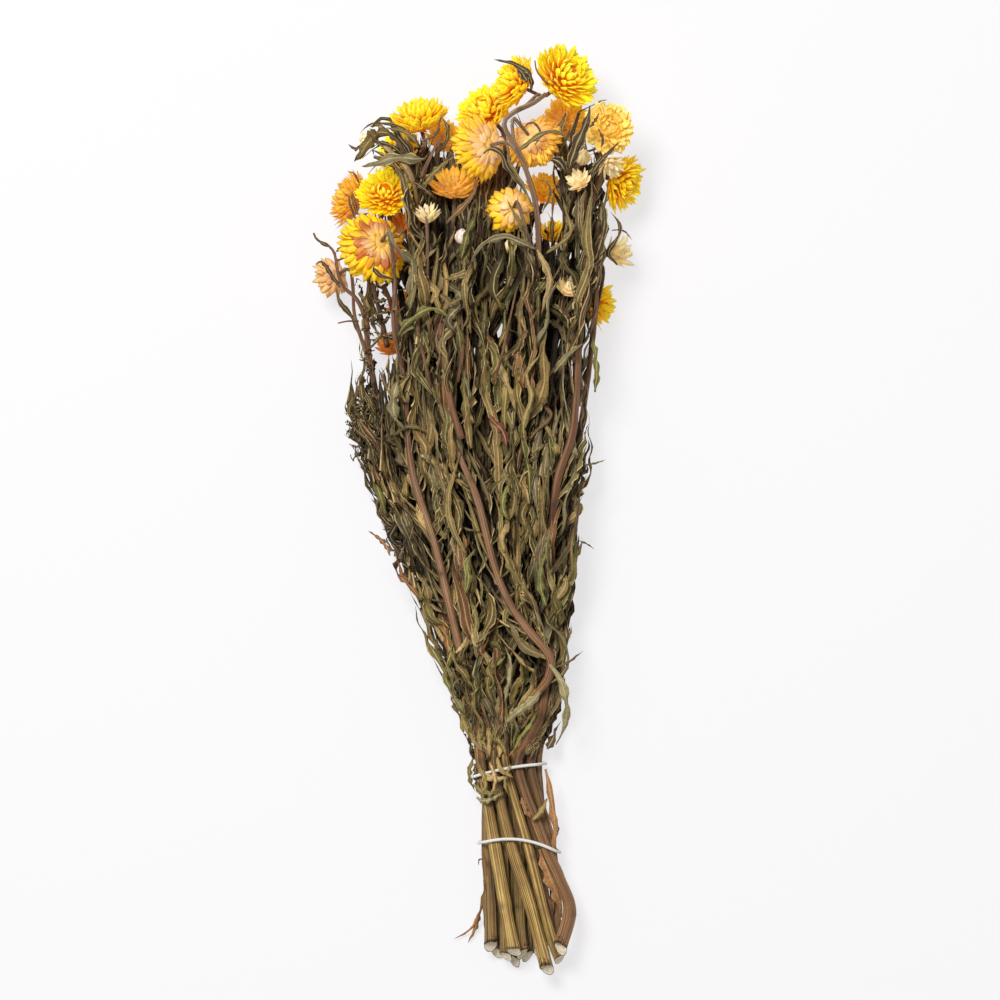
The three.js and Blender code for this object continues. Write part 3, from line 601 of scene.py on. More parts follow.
fibres, source, result = new_group(
    "fibres",
    [("Across", FLOAT, 0.0), ("Round", FLOAT, 0.0), ("Along", FLOAT, 0.0), ("Tint", FLOAT, 0.0),
     ("Count", FLOAT, 6.0), ("Length", FLOAT, 1.0)],
    [("Streak", FLOAT), ("Height", FLOAT)],
)
spot = add(fibres, "ShaderNodeCombineXYZ")
for number, (way, scale) in enumerate((("Across", "Count"), ("Round", "Count"), ("Along", "Length"))):
    wire(fibres, times(fibres, source.outputs[way], source.outputs[scale]), spot.inputs[number])
fibre_noise = add(fibres, "ShaderNodeTexNoise", noise_dimensions="4D")
fibre_noise.inputs["Scale"].default_value = 1.0
fibre_noise.inputs["Detail"].default_value = 3.0
fibre_noise.inputs["Roughness"].default_value = 0.6
wire(fibres, spot.outputs[0], fibre_noise.inputs["Vector"])
wire(fibres, times(fibres, source.outputs["Tint"], TINT_SHIFT), fibre_noise.inputs["W"])
wire(fibres, between(fibres, fibre_noise.outputs[0], *STREAK_LIMITS), result.inputs["Streak"])
wire(fibres, fibre_noise.outputs[0], result.inputs["Height"])

# %% The blotches and wrinkles of anything dried
BLOTCH_LIMITS = (0.3, 0.7)
WRINKLES_FINER = 5.0  # than the blotches

blotches, source, result = new_group(
    "dry_blotches",
    [("Scale", FLOAT, 300.0)],
    [("Blotch", FLOAT), ("Height", FLOAT)],
)
coords = add(blotches, "ShaderNodeTexCoord")
broad = add(blotches, "ShaderNodeTexNoise")
broad.inputs["Detail"].default_value = 2.0
wire(blotches, coords.outputs["Object"], broad.inputs["Vector"])
wire(blotches, source.outputs["Scale"], broad.inputs["Scale"])
fine = add(blotches, "ShaderNodeTexNoise")
fine.inputs["Detail"].default_value = 3.0
fine.inputs["Distortion"].default_value = 0.6
wire(blotches, coords.outputs["Object"], fine.inputs["Vector"])
wire(blotches, times(blotches, source.outputs["Scale"], WRINKLES_FINER), fine.inputs["Scale"])
wire(blotches, between(blotches, broad.outputs[0], *BLOTCH_LIMITS), result.inputs["Blotch"])
wire(blotches, fine.outputs[0], result.inputs["Height"])
print("groups:", [g.name for g in bpy.data.node_groups])


# %% A finish starts with its shader and the attributes it reads
def new_finish(name, roughness):
    material = bpy.data.materials.new(name)
    material.use_nodes = True
    tree = material.node_tree
    shader = tree.nodes["Principled BSDF"]
    shader.inputs["Roughness"].default_value = roughness
    return material, tree, shader


def read_attribute(tree, name):
    """An attribute's four numbers, and the first three together as a colour."""
    node = add(tree, "ShaderNodeAttribute", attribute_name=name)
    parts = add(tree, "ShaderNodeSeparateColor")
    wire(tree, node.outputs["Color"], parts.inputs[0])
    return (*parts.outputs[:3], node.outputs["Alpha"], node.outputs["Color"])


def rough_up(tree, shader, height, strength, distance):
    bump = add(tree, "ShaderNodeBump")
    bump.inputs["Strength"].default_value = strength
    bump.inputs["Distance"].default_value = distance
    wire(tree, height, bump.inputs["Height"])
    wire(tree, bump.outputs[0], shader.inputs["Normal"])


# %% [markdown]
# ### Leaves
#
# A dried leaf is dull olive or brown above, paler and greyer below, with a pale rib and
# pale rolled edges. The attribute "blade" holds where a point lies on its leaf: across it,
# along it, which side it is on, and a number of the leaf's own. "hue" is the leaf's colour
# with painted shade inside the bunch, and its fourth number is that painted shade: how much
# light gets there. The pale rib, edges and underside take the same painted shade.

# %% Leaf finish
PALE_RIB = srgb(224, 196, 136)
PALE_UNDERSIDE = srgb(154, 138, 98)
BURNT_TIP = srgb(44, 32, 22)
BROWN_PATCH = srgb(82, 58, 36)
RIB_FADES = (0.02, 0.09)  # how far from the middle, as shares of the leaf's width
ROLLED_EDGE = (0.36, 0.43)
EDGED_TINTS = (0.3, 0.45)  # leaves with a higher tint have a pale edge
DRY_PATCH = (0.5, 0.62)
DRY_TIP = (0.84, 1.0)
LEAF_RELIEF = 0.0008

leaf_finish, tree, shader = new_finish("dried_leaf", 0.68)
across, along, under, tint, _ = read_attribute(tree, "blade")
*_, painted_shade, hue = read_attribute(tree, "hue")
# painted shade: the pale rib, edges and underside darken inside the bunch too
pale = shaded(tree, PALE_RIB, painted_shade)
off_rib = maths(tree, "ABSOLUTE", less(tree, across, 0.5))
streaks = place_group(tree, fibres, Across=across, Along=along, Tint=tint, Count=14.0, Length=2.0)
patches = place_group(tree, blotches, Scale=190.0)
# the streaks are partly the fibres' own colour and partly painted shade: the light and dark stripes
# of a rolled blade
shade = plus(tree, times(tree, streaks.outputs["Streak"], 0.7),
             times(tree, patches.outputs["Blotch"], 0.3))
body = shaded(tree, hue, plus(tree, shade, 0.5))
dry = times(tree, between(tree, patches.outputs["Height"], *DRY_PATCH), 0.35)
body = blend_colours(tree, dry, body, BROWN_PATCH)
body = blend_colours(tree, times(tree, under, 0.4), body, shaded(tree, PALE_UNDERSIDE, painted_shade))
rib = less(tree, 1.0, between(tree, off_rib, *RIB_FADES))
rib = times(tree, rib, less(tree, 0.7, times(tree, along, 0.5)))  # paler towards the foot
body = blend_colours(tree, rib, body, pale)
edge = times(tree, between(tree, off_rib, *ROLLED_EDGE),
             times(tree, between(tree, tint, *EDGED_TINTS), 0.9))
body = blend_colours(tree, edge, body, pale)
body = blend_colours(tree, times(tree, between(tree, along, *DRY_TIP), 0.6), body, BURNT_TIP)
wire(tree, body, shader.inputs["Base Color"])
shader.inputs["Specular IOR Level"].default_value = 0.35
relief = plus(tree, times(tree, streaks.outputs["Height"], 0.6), patches.outputs["Height"])
rough_up(tree, shader, relief, 0.8, LEAF_RELIEF)
print("leaf finish,", len(tree.nodes), "nodes")

# %% [markdown]
# ### Wood
#
# The stems are ridged, yellow-green near the cut ends and purple-brown higher up, and some
# are brown all along. The attribute "wood" holds a point's place round the stem as two
# numbers, so that the streaks close up behind, how far along it lies, and how brown the stem
# is. "scar" is high where a leaf has left its mark, and its second number is painted shade:
# how much light gets there, which darkens the wood inside the bunch. Cut faces are pale, with
# a soft core.

# %% Wood finish
# height on the bunch, as a share of its length, and the wood's colour there
WOOD_COLOURS = (
    (0.0, srgb(224, 192, 108)), (0.2, srgb(216, 181, 99)), (0.27, srgb(190, 146, 91)),
    (0.36, srgb(172, 132, 96)), (0.75, srgb(164, 130, 100)), (1.0, srgb(190, 168, 134)),
)
BROWN_BARK = srgb(144, 100, 68)
RUSTY_LINE = srgb(132, 76, 46)
BARK_SCAR = srgb(84, 56, 38)
HALF_LENGTH = 0.25  # metres, of the bunch
RUSTY_BELOW = (0.3, 0.55)
WOOD_RELIEF = 0.0014

wood_finish, tree, shader = new_finish("ridged_stem", 0.62)
around_x, around_y, along, brownness, _ = read_attribute(tree, "wood")
scar, painted_shade = read_attribute(tree, "scar")[:2]
coords = add(tree, "ShaderNodeTexCoord")
axis = add(tree, "ShaderNodeSeparateXYZ")
wire(tree, coords.outputs["Object"], axis.inputs[0])
height = add(tree, "ShaderNodeMapRange")
height.inputs["From Min"].default_value = -HALF_LENGTH
height.inputs["From Max"].default_value = HALF_LENGTH
wire(tree, axis.outputs["Y"], height.inputs["Value"])
ramp = add(tree, "ShaderNodeValToRGB")
for place, colour in WOOD_COLOURS[1:-1]:
    ramp.color_ramp.elements.new(place).color = (*colour, 1)
ramp.color_ramp.elements[0].color = (*WOOD_COLOURS[0][1], 1)
ramp.color_ramp.elements[-1].color = (*WOOD_COLOURS[-1][1], 1)
wire(tree, height.outputs["Result"], ramp.inputs[0])
ridges = place_group(tree, fibres, Across=around_x, Round=around_y, Along=along, Tint=brownness,
                     Count=11.0, Length=4.0)
patches = place_group(tree, blotches, Scale=90.0)
body = blend_colours(tree, times(tree, brownness, 0.85), ramp.outputs[0], BROWN_BARK)
body = blend_colours(tree, times(tree, patches.outputs["Blotch"], 0.4), body, BROWN_BARK)
rusty = less(tree, 1.0, between(tree, ridges.outputs["Streak"], *RUSTY_BELOW))
body = blend_colours(tree, times(tree, rusty, 0.6), body, RUSTY_LINE)
body = shaded(tree, body, plus(tree, times(tree, ridges.outputs["Streak"], 0.9), 0.45))
body = blend_colours(tree, times(tree, scar, 0.75), body, BARK_SCAR)
# painted shade: wood inside the bunch is darkened
wire(tree, shaded(tree, body, painted_shade), shader.inputs["Base Color"])
relief = plus(tree, ridges.outputs["Height"], times(tree, patches.outputs["Height"], 0.25))
rough_up(tree, shader, relief, 1.0, WOOD_RELIEF)
print("wood finish,", len(tree.nodes), "nodes")

# %% Cut face finish
CUT_PITH, CUT_RING = srgb(255, 246, 226), srgb(232, 210, 170)
CUT_RELIEF = 0.0004

cut_finish, tree, shader = new_finish("cut_face", 0.85)
patches = place_group(tree, blotches, Scale=900.0)
body = blend_colours(tree, patches.outputs["Blotch"], CUT_PITH, CUT_RING)
wire(tree, body, shader.inputs["Base Color"])
rough_up(tree, shader, patches.outputs["Height"], 0.5, CUT_RELIEF)
print("cut face finish,", len(tree.nodes), "nodes")

# %% [markdown]
# ### Bracts
#
# What looks like a petal on a strawflower is a dry, papery bract. It is silky, so it has a
# faint sheen and a rather low roughness, and fine veins run from its foot to its tip. Light
# comes through it, which turns the depths between the bracts orange and not grey. True
# translucence is slow to render, so a little scattering and a faint glow in the bract's own,
# deeper colour stand in.

# %% Bract finish
BRACT_GLOW = 0.15
BRACT_RELIEF = 0.0004

bract_finish, tree, shader = new_finish("papery_bract", 0.45)
across, along, _, tint, _ = read_attribute(tree, "blade")
hue = read_attribute(tree, "hue")[4]
streaks = place_group(tree, fibres, Across=across, Along=along, Tint=tint, Count=9.0, Length=1.2)
patches = place_group(tree, blotches, Scale=420.0)
shade = plus(tree, times(tree, streaks.outputs["Streak"], 0.14),
             times(tree, patches.outputs["Blotch"], 0.06))
body = shaded(tree, hue, plus(tree, shade, 0.9))
wire(tree, body, shader.inputs["Base Color"])
deeper = blend_colours(tree, 1.0, body, hue, "MULTIPLY")
wire(tree, blend_colours(tree, 0.4, body, deeper), shader.inputs["Emission Color"])
shader.inputs["Emission Strength"].default_value = BRACT_GLOW
shader.inputs["Specular IOR Level"].default_value = 0.3
shader.inputs["Sheen Weight"].default_value = 0.05
shader.inputs["Sheen Roughness"].default_value = 0.4
shader.inputs["Subsurface Weight"].default_value = 0.2
shader.inputs["Subsurface Radius"].default_value = (1.0, 0.75, 0.1)
shader.inputs["Subsurface Scale"].default_value = 0.002
rough_up(tree, shader, streaks.outputs["Height"], 0.35, BRACT_RELIEF)
print("bract finish,", len(tree.nodes), "nodes")

# %% [markdown]
# ## Leaves
#
# Each leaf grows from its stem, stands off it, swings round it and waves. A leaf that would
# cross a neighbour is bent closer to its own stem, then shortened, and left off if it still
# has no room. The first leaves are the ones that the solids carry; more and smaller ones
# then fill the bunch.

# %% Repeatable numbers for the leaves that the solids carry
FIRST_SEED = 12


def stream(seed):
    """A stream of numbers that the solids' own script draws in the same order."""
    state = seed

    def draw(low=0.0, high=1.0):
        nonlocal state
        state = (state * 1664525 + 1013904223) & 0xFFFFFFFF
        return low + (high - low) * state / 4294967296

    return draw


# %% Where a leaf runs
FOLLOWS = 0.92  # how far a leaf gets along its stem, as a share of its length
STANDS_OFF_BY = 0.55  # the share of its length where it has left the stem
FOOT_WIDTH = 0.24


def leaf_place(leaf, share):
    """Places along a leaf, and the way out from its stem there."""
    place, _, up, side = frame_at(leaf["route"], leaf["from"] + share * leaf["length"] * FOLLOWS)
    angle = (leaf["angle"] + leaf["swirl"] * share)[:, None]
    out = up * np.cos(angle) + side * np.sin(angle)
    round_it = -up * np.sin(angle) + side * np.cos(angle)
    # it leaves the stem, stands off it, and flares or closes towards its tip
    rise = np.sin(np.minimum(1, share / STANDS_OFF_BY) * math.pi / 2)
    stand = leaf["standoff"] * rise + leaf["flare"] * share**3
    wave = leaf["wave"] * np.sin(2 * math.pi * leaf["waves"] * share + leaf["phase"]) * share
    return place + out * stand[:, None] + round_it * wave[:, None], out


def leaf_section(leaf, share):
    """Place, side, normal and half width of a blade at some shares of its length."""
    place, out = leaf_place(leaf, share)
    along = unit(leaf_place(leaf, share + 0.02)[0] - leaf_place(leaf, share - 0.02)[0])
    flat = unit(out - along * dot(out, along))
    across = np.cross(along, flat)
    twist = (leaf["twist"] * share)[:, None]
    side = across * np.cos(twist) + flat * np.sin(twist)
    normal = flat * np.cos(twist) - across * np.sin(twist)
    # widest at four tenths of its length
    full = np.sin(math.pi * np.clip(share, 0, 1) ** 0.75).clip(0) ** 0.85
    half = leaf["half"] * np.maximum(FOOT_WIDTH * (1 - share), full)
    return place, side, normal, half


# %% [markdown]
# The bunch is narrow, because it was pressed in its wrapper. Whatever leaf reaches out of its
# sides is folded back, and what would reach under the table lies flat on it.

# %% Sides of the bunch
# height on the bunch, its left side and its right side there
SIDES = np.array([
    (-250, -60, 90), (-133, -60, 90), (-131, -4, 36), (-105, -13, 43), (-73, -27, 49),
    (-46, -38, 53), (-14, -51, 56), (34, -60, 58), (56, -72, 56), (76, -60, 53), (93, -55, 55),
    (115, -56, 60), (148, -62, 68), (200, -66, 84),
])
FOLDED_BACK = 0.4
RAGGED = 3
OFF_THE_TABLE = 0.2


def sides_at(y):
    left, right = (np.interp(y, SIDES[:, 0], SIDES[:, k]) for k in (1, 2))
    left = left + RAGGED * np.sin(y / 6.1) * np.sin(y / 3.7)
    return left, right + RAGGED * np.sin(y / 5.3) * np.sin(y / 4.1)


def tuck_in(places):
    """Draws in what reaches out of the sides, and lifts what reaches under the table."""
    x, y = places[..., 0], places[..., 1]
    left, right = sides_at(y)
    x = np.where(x > right, right + (x - right) * FOLDED_BACK, x)
    x = np.where(x < left, left + (x - left) * FOLDED_BACK, x)
    return np.stack([x, y, places[..., 2].clip(OFF_THE_TABLE)], axis=-1)


# %% What leaves keep clear of
LEAF_LOWEST, LEAF_HIGHEST = 0.7, 78
MOST_BALLS = 400000
LOOK_ROUND = 14  # more than any ball's radius and clearance together
NO_LIMIT = 1e9
HEADS_BALLS = -1
# as shares of a head's width: its heart's balls, where the balls of its rim stand, their size
HEART_BALL, RIM_REACH, RIM_BALL = 0.3, 0.375, 0.14
RIM_BALLS = 12


class Room:
    """Balls that are taken: of wood, of heads, and of leaves (radius 0)."""

    def __init__(self):
        self.centres = np.zeros((MOST_BALLS, 3))
        self.radii = np.zeros(MOST_BALLS)
        self.owners = np.zeros(MOST_BALLS, int)
        self.count = 0

    def take(self, owner, centres, radii):
        end = self.count + len(centres)
        self.centres[self.count:end] = centres
        self.radii[self.count:end] = radii
        self.owners[self.count:end] = owner
        self.count = end

    def free(self, owner, samples, clearance, own_clearance, spill=NO_LIMIT, highest=LEAF_HIGHEST):
        """True where the samples keep clear of others and of this owner's own leaves, reach
        no further than spill out of the sides, and stay under the highest."""
        if samples[:, 2].min() < LEAF_LOWEST or samples[:, 2].max() > highest:
            return False
        left, right = sides_at(samples[:, 1])
        if (samples[:, 0] < left - spill).any() or (samples[:, 0] > right + spill).any():
            return False
        low, high = samples.min(0) - LOOK_ROUND, samples.max(0) + LOOK_ROUND
        centres = self.centres[:self.count]
        near = np.flatnonzero(((centres > low) & (centres < high)).all(1))
        radii, own = self.radii[near], self.owners[near] == owner
        keep = np.where(own, np.where(radii > 0, 0, own_clearance), radii + clearance)
        gaps = ((samples[:, None] - centres[near]) ** 2).sum(2)
        return bool((gaps > keep**2).all())


def head_axes(aim):
    aim = unit(aim)
    side = unit(np.cross((1.0, 0, 0) if abs(aim[2]) > 0.9 else (0, 0, 1.0), aim))
    return aim, side, np.cross(aim, side)


room_left = Room()
STEM_NUMBER = {stem_name: number for number, stem_name in enumerate(STEMS)}
for axis in AXES:
    stations = axis["route"]["stations"]
    shares = np.arange(len(stations)) / (len(stations) - 1)
    room_left.take(STEM_NUMBER[axis["stem"]], stations, axis["radius"](shares))
for at, aim, width, *_ in HEADS.values():
    aim, side, lift = head_axes(aim)
    heart = [np.array(at) + aim * height * width / 2 for height in (-0.2, 0.2)]
    room_left.take(HEADS_BALLS, heart, width * HEART_BALL)
    turn = 2 * math.pi * np.arange(RIM_BALLS)[:, None] / RIM_BALLS
    rim = np.array(at) + (side * np.cos(turn) + lift * np.sin(turn)) * width * RIM_REACH
    room_left.take(HEADS_BALLS, rim, width * RIM_BALL)
print(room_left.count, "balls of wood and heads")

# %% Grow the leaves that the solids carry
SAMPLE_SHARES = np.arange(2, 11) / 10
BARE_END = 10  # under the head, where no leaf starts
UNEVEN = (0.7, 1.3)


def leaf_samples(leaf):
    place, side, _, half = leaf_section(leaf, SAMPLE_SHARES)
    return np.concatenate([place + side * (half * k)[:, None] for k in (-1, 0, 1)])


def grow(axis, first, draw, law):
    """Leaves along one stem or branch, as a law gives their spacing and their measures."""
    owner = STEM_NUMBER[axis["stem"]]
    leaves = []
    distance = first
    turns = math.floor(draw() * axis["sides"]) / axis["sides"] + 0.5
    end = min(axis["route"]["length"] - BARE_END, first + law.get("stretch", NO_LIMIT))
    while distance < end:
        leaf = {"route": axis["route"], "stem": axis["stem"], "from": distance}
        for key, limits in law["draws"]:
            leaf[key] = draw(*limits)
        leaf["angle"] += 2 * math.pi * turns
        for bend, cut in law["tries"]:
            tried = {**leaf, "standoff": leaf["standoff"] * bend, "flare": leaf["flare"] * bend,
                     "length": leaf["length"] * cut}
            samples = leaf_samples(tried)
            if room_left.free(owner, samples, *law["clear"]) and not law["bars"](samples):
                room_left.take(owner, samples, 0)
                leaves.append(tried)
                break
        distance += law["spacing"] * draw(*UNEVEN)
        turns += axis["turn"]
    return leaves


# A law says what it bars, how far apart leaves grow, how clear they keep of others and of
# their own stem's leaves, what to try (closer to the stem, shorter), and what is drawn.
SOLID_LAW = {
    "bars": lambda samples: False,
    "spacing": 15,
    "clear": (1.7, 1.5),
    "tries": ((1, 1), (0.75, 0.95), (0.55, 0.85), (0.4, 0.7)),
    "draws": (("length", (36, 66)), ("half", (2.4, 4.2)), ("standoff", (6, 16)),
              ("angle", (-0.12, 0.12)), ("swirl", (-0.9, 0.9)), ("flare", (-4, 10)),
              ("wave", (0.6, 2.4)), ("waves", (0.8, 1.9)), ("phase", (0, 2 * math.pi)),
              ("twist", (-1.7, 1.7)), ("fold", (0.05, 0.3))),
}
LEAF_ZONE_Y = -126
BRANCH_BARE = 6


def first_leaf(axis, low=LEAF_ZONE_Y):
    if axis["sides"] == BRANCH_SIDES:
        return BRANCH_BARE
    return int(np.argmax(axis["route"]["stations"][:, 1] >= low)) * STATION


leaves = []
for number, stem_name in enumerate(STEMS):
    draw = stream(FIRST_SEED + number)
    for axis in axes_of(stem_name):
        leaves += grow(axis, first_leaf(axis), draw, SOLID_LAW)
print(len(leaves), "leaves of the solids")

# %% Stretches of stem that nothing hides
# stem, and from what height to what height on the bunch
SHOWN = (("stem_03", -98, 30), ("stem_01", -70, 40), ("stem_05", -140, -92), ("stem_05", 12, 66),
         ("stem_04", 150, 226))
SHOWN_WIDTH = 3.4
SHOWN_RISES = (5, 9, 13, 17, 21, 25)  # balls over a stem keep leaves off it
# x, y and half width of the gaps that one looks through to the table or to a low head
GAPS = ((-41, 116, 5), (-47, 93, 4), (33, 207, 8), (33, 152, 3), (43, 156, 3), (-49, 110, 4),
        (-60, 99, 4), (-55, 84, 4), (40, 94, 3), (36, 81, 1.5), (53, 78, 2.5), (54, 55, 2))
GAP_LEVELS = range(2, 80, 4)
CURTAIN_BALLS = -2
# left, right, lower end and height above which the heads in the middle stay clear
HEADS_IN_SIGHT = (-20, 38, 156, 38)

curtain = []
for stem_name, low, high in SHOWN:
    trunk = axes_of(stem_name)[0]["route"]["stations"]
    seen = trunk[(trunk[:, 1] > low) & (trunk[:, 1] < high)]
    curtain += [seen + (0, 0, rise) for rise in SHOWN_RISES]
curtain += [[(x, y, z) for z in GAP_LEVELS] for x, y, _ in GAPS]
curtain = np.concatenate(curtain)
widths = [wide for _, _, wide in GAPS for _ in GAP_LEVELS]
widths = np.array([SHOWN_WIDTH] * (len(curtain) - len(widths)) + widths)
room_left.take(CURTAIN_BALLS, curtain, widths)


def over_heads(samples):
    """True for what would cover the heads in the middle."""
    x, y, z = samples.T
    left, right, lower, above = HEADS_IN_SIGHT
    return ((x > left) & (x < right) & (y > lower) & (z > above)).any()


def in_the_way(leaf):
    samples = leaf_samples(leaf)
    gaps = ((samples[:, None] - curtain) ** 2).sum(2)
    return over_heads(samples) or (gaps < widths**2).any()


leaves = [leaf for leaf in leaves if not in_the_way(leaf)]
print(len(leaves), "leaves beside the stems that stay in sight")

# %% Grow the leaves that fill the bunch
SHRIVELLED = (("flare", (-3, 5)), ("wave", (0.8, 4.0)), ("waves", (0.8, 2.6)),
              ("phase", (0, 2 * math.pi)), ("twist", (-3.6, 3.6)), ("fold", (0.0, 0.6)))


def leaf_law(spacing, clear, tries, *draws, stretch=NO_LIMIT):
    """Draws are the limits of length, half the width, standoff, angle and swirl."""
    names = ("length", "half", "standoff", "angle", "swirl")
    return {"bars": over_heads, "spacing": spacing, "clear": clear, "tries": tries,
            "stretch": stretch, "draws": (*zip(names, draws), *SHRIVELLED)}


NECK_SHAPE = ((0.9, 2.6), (1.5, 7), (-3.0, 3.0), (-1.2, 1.2))
NECK_TRIES = ((1, 1), (0.6, 0.8), (0.3, 0.6))
FILL_LAW = leaf_law(5.5, (0.6, 0.5, 1.5), ((1, 1), (0.7, 0.9), (0.45, 0.8), (0.25, 0.6)),
                    (34, 76), (1.1, 3.2), (3, 15), (-0.6, 0.6), (-1.0, 1.0))
UNDER_LAW = leaf_law(5, (0.3, 0.3, 0.0, 24), ((1, 1), (0.7, 0.8), (0.4, 0.6)),
                     (34, 60), (2.2, 4.0), (4, 20), (-3.0, 3.0), (-1.0, 1.0))
CRUMB_LAW = leaf_law(8, (0.4, 0.4, 4.0), ((1, 1), (0.6, 0.8)),
                     (10, 26), (0.9, 2.1), (1.5, 13), (-3.0, 3.0), (-2.2, 2.2))
TUFT_LAW = leaf_law(1.6, (0.3, 0.3), ((1, 1), (0.6, 0.8)),
                    (8, 22), (1.2, 2.6), (2, 12), (-3.0, 3.0), (-2.2, 2.2))
NECK_LAW = leaf_law(2.2, (0.2, 0.3), NECK_TRIES, (14, 40), *NECK_SHAPE, stretch=42)
DROOP_LAW = leaf_law(2.2, (0.2, 0.3), NECK_TRIES, (-22, -9), *NECK_SHAPE, stretch=24)
LOW_STEMS = ("stem_08", "stem_11", "stem_12", "stem_13", "stem_07", "stem_09")
TUFT = axes_of("stem_06")[-1]  # the side branch at the left that no head ends
NECK_TOP = -130  # the leaves begin here
TUFT_START = 18
ALL_STEMS = tuple(STEMS)
PASSES = (("fill", FILL_LAW, 301, ALL_STEMS), ("fill", FILL_LAW, 401, ALL_STEMS),
          ("under", UNDER_LAW, 501, LOW_STEMS), ("under", UNDER_LAW, 551, LOW_STEMS),
          ("crumb", CRUMB_LAW, 701, ALL_STEMS))  # kind, law, seed, stems
NECK_PASSES = ((NECK_LAW, -134, 801), (NECK_LAW, -126, 821), (DROOP_LAW, -112, 841))
TUFT_SEEDS = (901, 911, 921, 931)


def of_kind(kind, grown):
    return [{**leaf, "kind": kind} for leaf in grown]


def grow_more(kind, law, seed, stems):
    """One pass of a law over some stems."""
    grown = []
    for stem_name in stems:
        draw = stream(seed + STEM_NUMBER[stem_name])
        for axis in axes_of(stem_name):
            grown += grow(axis, first_leaf(axis, NECK_TOP) + draw(0, 6), draw, law)
    return of_kind(kind, grown)


for growth in PASSES:
    leaves += grow_more(*growth)
for trunk in TRUNKS:
    for law, low, seed in NECK_PASSES:
        draw = stream(seed + STEM_NUMBER[trunk["stem"]])
        leaves += of_kind("crumb", grow(trunk, first_leaf(trunk, low), draw, law))
for seed in TUFT_SEEDS:
    leaves += of_kind("tuft", grow(TUFT, TUFT_START, stream(seed), TUFT_LAW))
print(len(leaves), "leaves in all")

# %% [markdown]
# Light fades quickly between the leaves, and that shade is painted into the colours: each piece
# is darker the deeper it lies below the leaves over it, or behind the leaves at its sides. A map
# of the leaves' tops gives that depth.

# %% Painted shade inside the bunch
CELL = 4
MAP_LOW, MAP_HIGH = np.array((-100, -260)), np.array((100, 260))
DEEPEST_SHADE, MAP_BLURS = 0.14, 2
# height on the bunch, and how far light gets in there
LIGHT_REACH = ((-150, 10), (-122, 6), (-105, 4.6), (-20, 4.8), (30, 7))
UNDER_SIDE = -5  # light also comes in from under the bunch, as if it stood this far off the table
# the bunch without its leaves: height on it, left and right side and top there
BARE = np.array([(-250, -6, 50, 20), (-175, -4, 42, 23), (-130, -5, 37, 27), (-40, -38, 53, 41),
                 (60, -70, 56, 50), (130, -66, 66, 50), (250, -90, 90, 50)])

tops = np.zeros(((MAP_HIGH - MAP_LOW) // CELL))
for leaf in leaves:
    samples = leaf_samples(leaf)
    column, row = ((samples[:, :2] - MAP_LOW) // CELL).astype(int).T
    np.maximum.at(tops, (column, row), samples[:, 2])
for _ in range(MAP_BLURS):
    around = [np.roll(np.roll(tops, dx, 0), dy, 1) for dx in (-1, 0, 1) for dy in (-1, 0, 1)]
    tops = sum(around) / len(around)


def shade_inside(places):
    """Painted shade: 1 at the outside of the bunch, less and less inside it."""
    column, row = ((places[:, :2] - MAP_LOW) // CELL).astype(int).T
    left, right, top = (np.interp(places[:, 1], BARE[:, 0], BARE[:, k]) for k in (1, 2, 3))
    top = np.where(places[:, 1] > NECK_TOP, tops[column, row], top)
    depth = np.minimum(top - places[:, 2], places[:, 2] - UNDER_SIDE)
    depth = np.minimum(depth, np.minimum(places[:, 0] - left, right - places[:, 0])).clip(0)
    reach = np.interp(places[:, 1], *zip(*LIGHT_REACH))
    return DEEPEST_SHADE + (1 - DEEPEST_SHADE) * np.exp(-depth / reach)


# %% [markdown]
# ## Stems
#
# A stem could be a curve with a round bevel, but a real one is ridged, swells where leaves
# sat and wanders in thickness. So a finely ringed tube is bent along the route and its
# radius follows a formula. The foot is cut off at a slant, as shears leave it.

# %% Wood of each stem
WOOD_RING = 3.2  # spacing of the rings
TRUNK_RAILS, BRANCH_RAILS = 20, 10
CUT_FACE_RINGS = (0.07, 0.4)  # a thin rim of bark, and the ring round the core
NODE_SPACING, NODE_LENGTH, NODE_SWELL = 23, 1.5, 0.06
NODE_TURN = 2.4  # a leaf scar sits this much further round than the one below it
CUT_DEPTH = 2.5
CUT_SLANTS, CUT_LEANS = (0.9, 1.8), (-0.7, 0.7)
# how many ridges stand round a stem, and how high they are as a share of its radius
COARSE_RIDGES, COARSE_HEIGHT = 5, 0.05
FINE_RIDGES, FINE_HEIGHT = 9, 0.045
WINDING = 2.5  # the most that they wind round it, in radians
# over what length its thickness wanders, and how far
SLOW_WANDER, SLOW_SWELL = 11, 0.05
QUICK_WANDER, QUICK_SWELL = 4.3, 0.03
SCAR_SHARPNESS = 4
ALMOST_ROUND = 6.28  # the range of a chance phase
BROWN_STEMS = {"stem_05": 0.95, "stem_06": 0.5, "stem_10": 0.9, "stem_13": 0.7, "stem_03": 0.3}
SLIMMER = 0.94  # bark shrinks a little as it dries


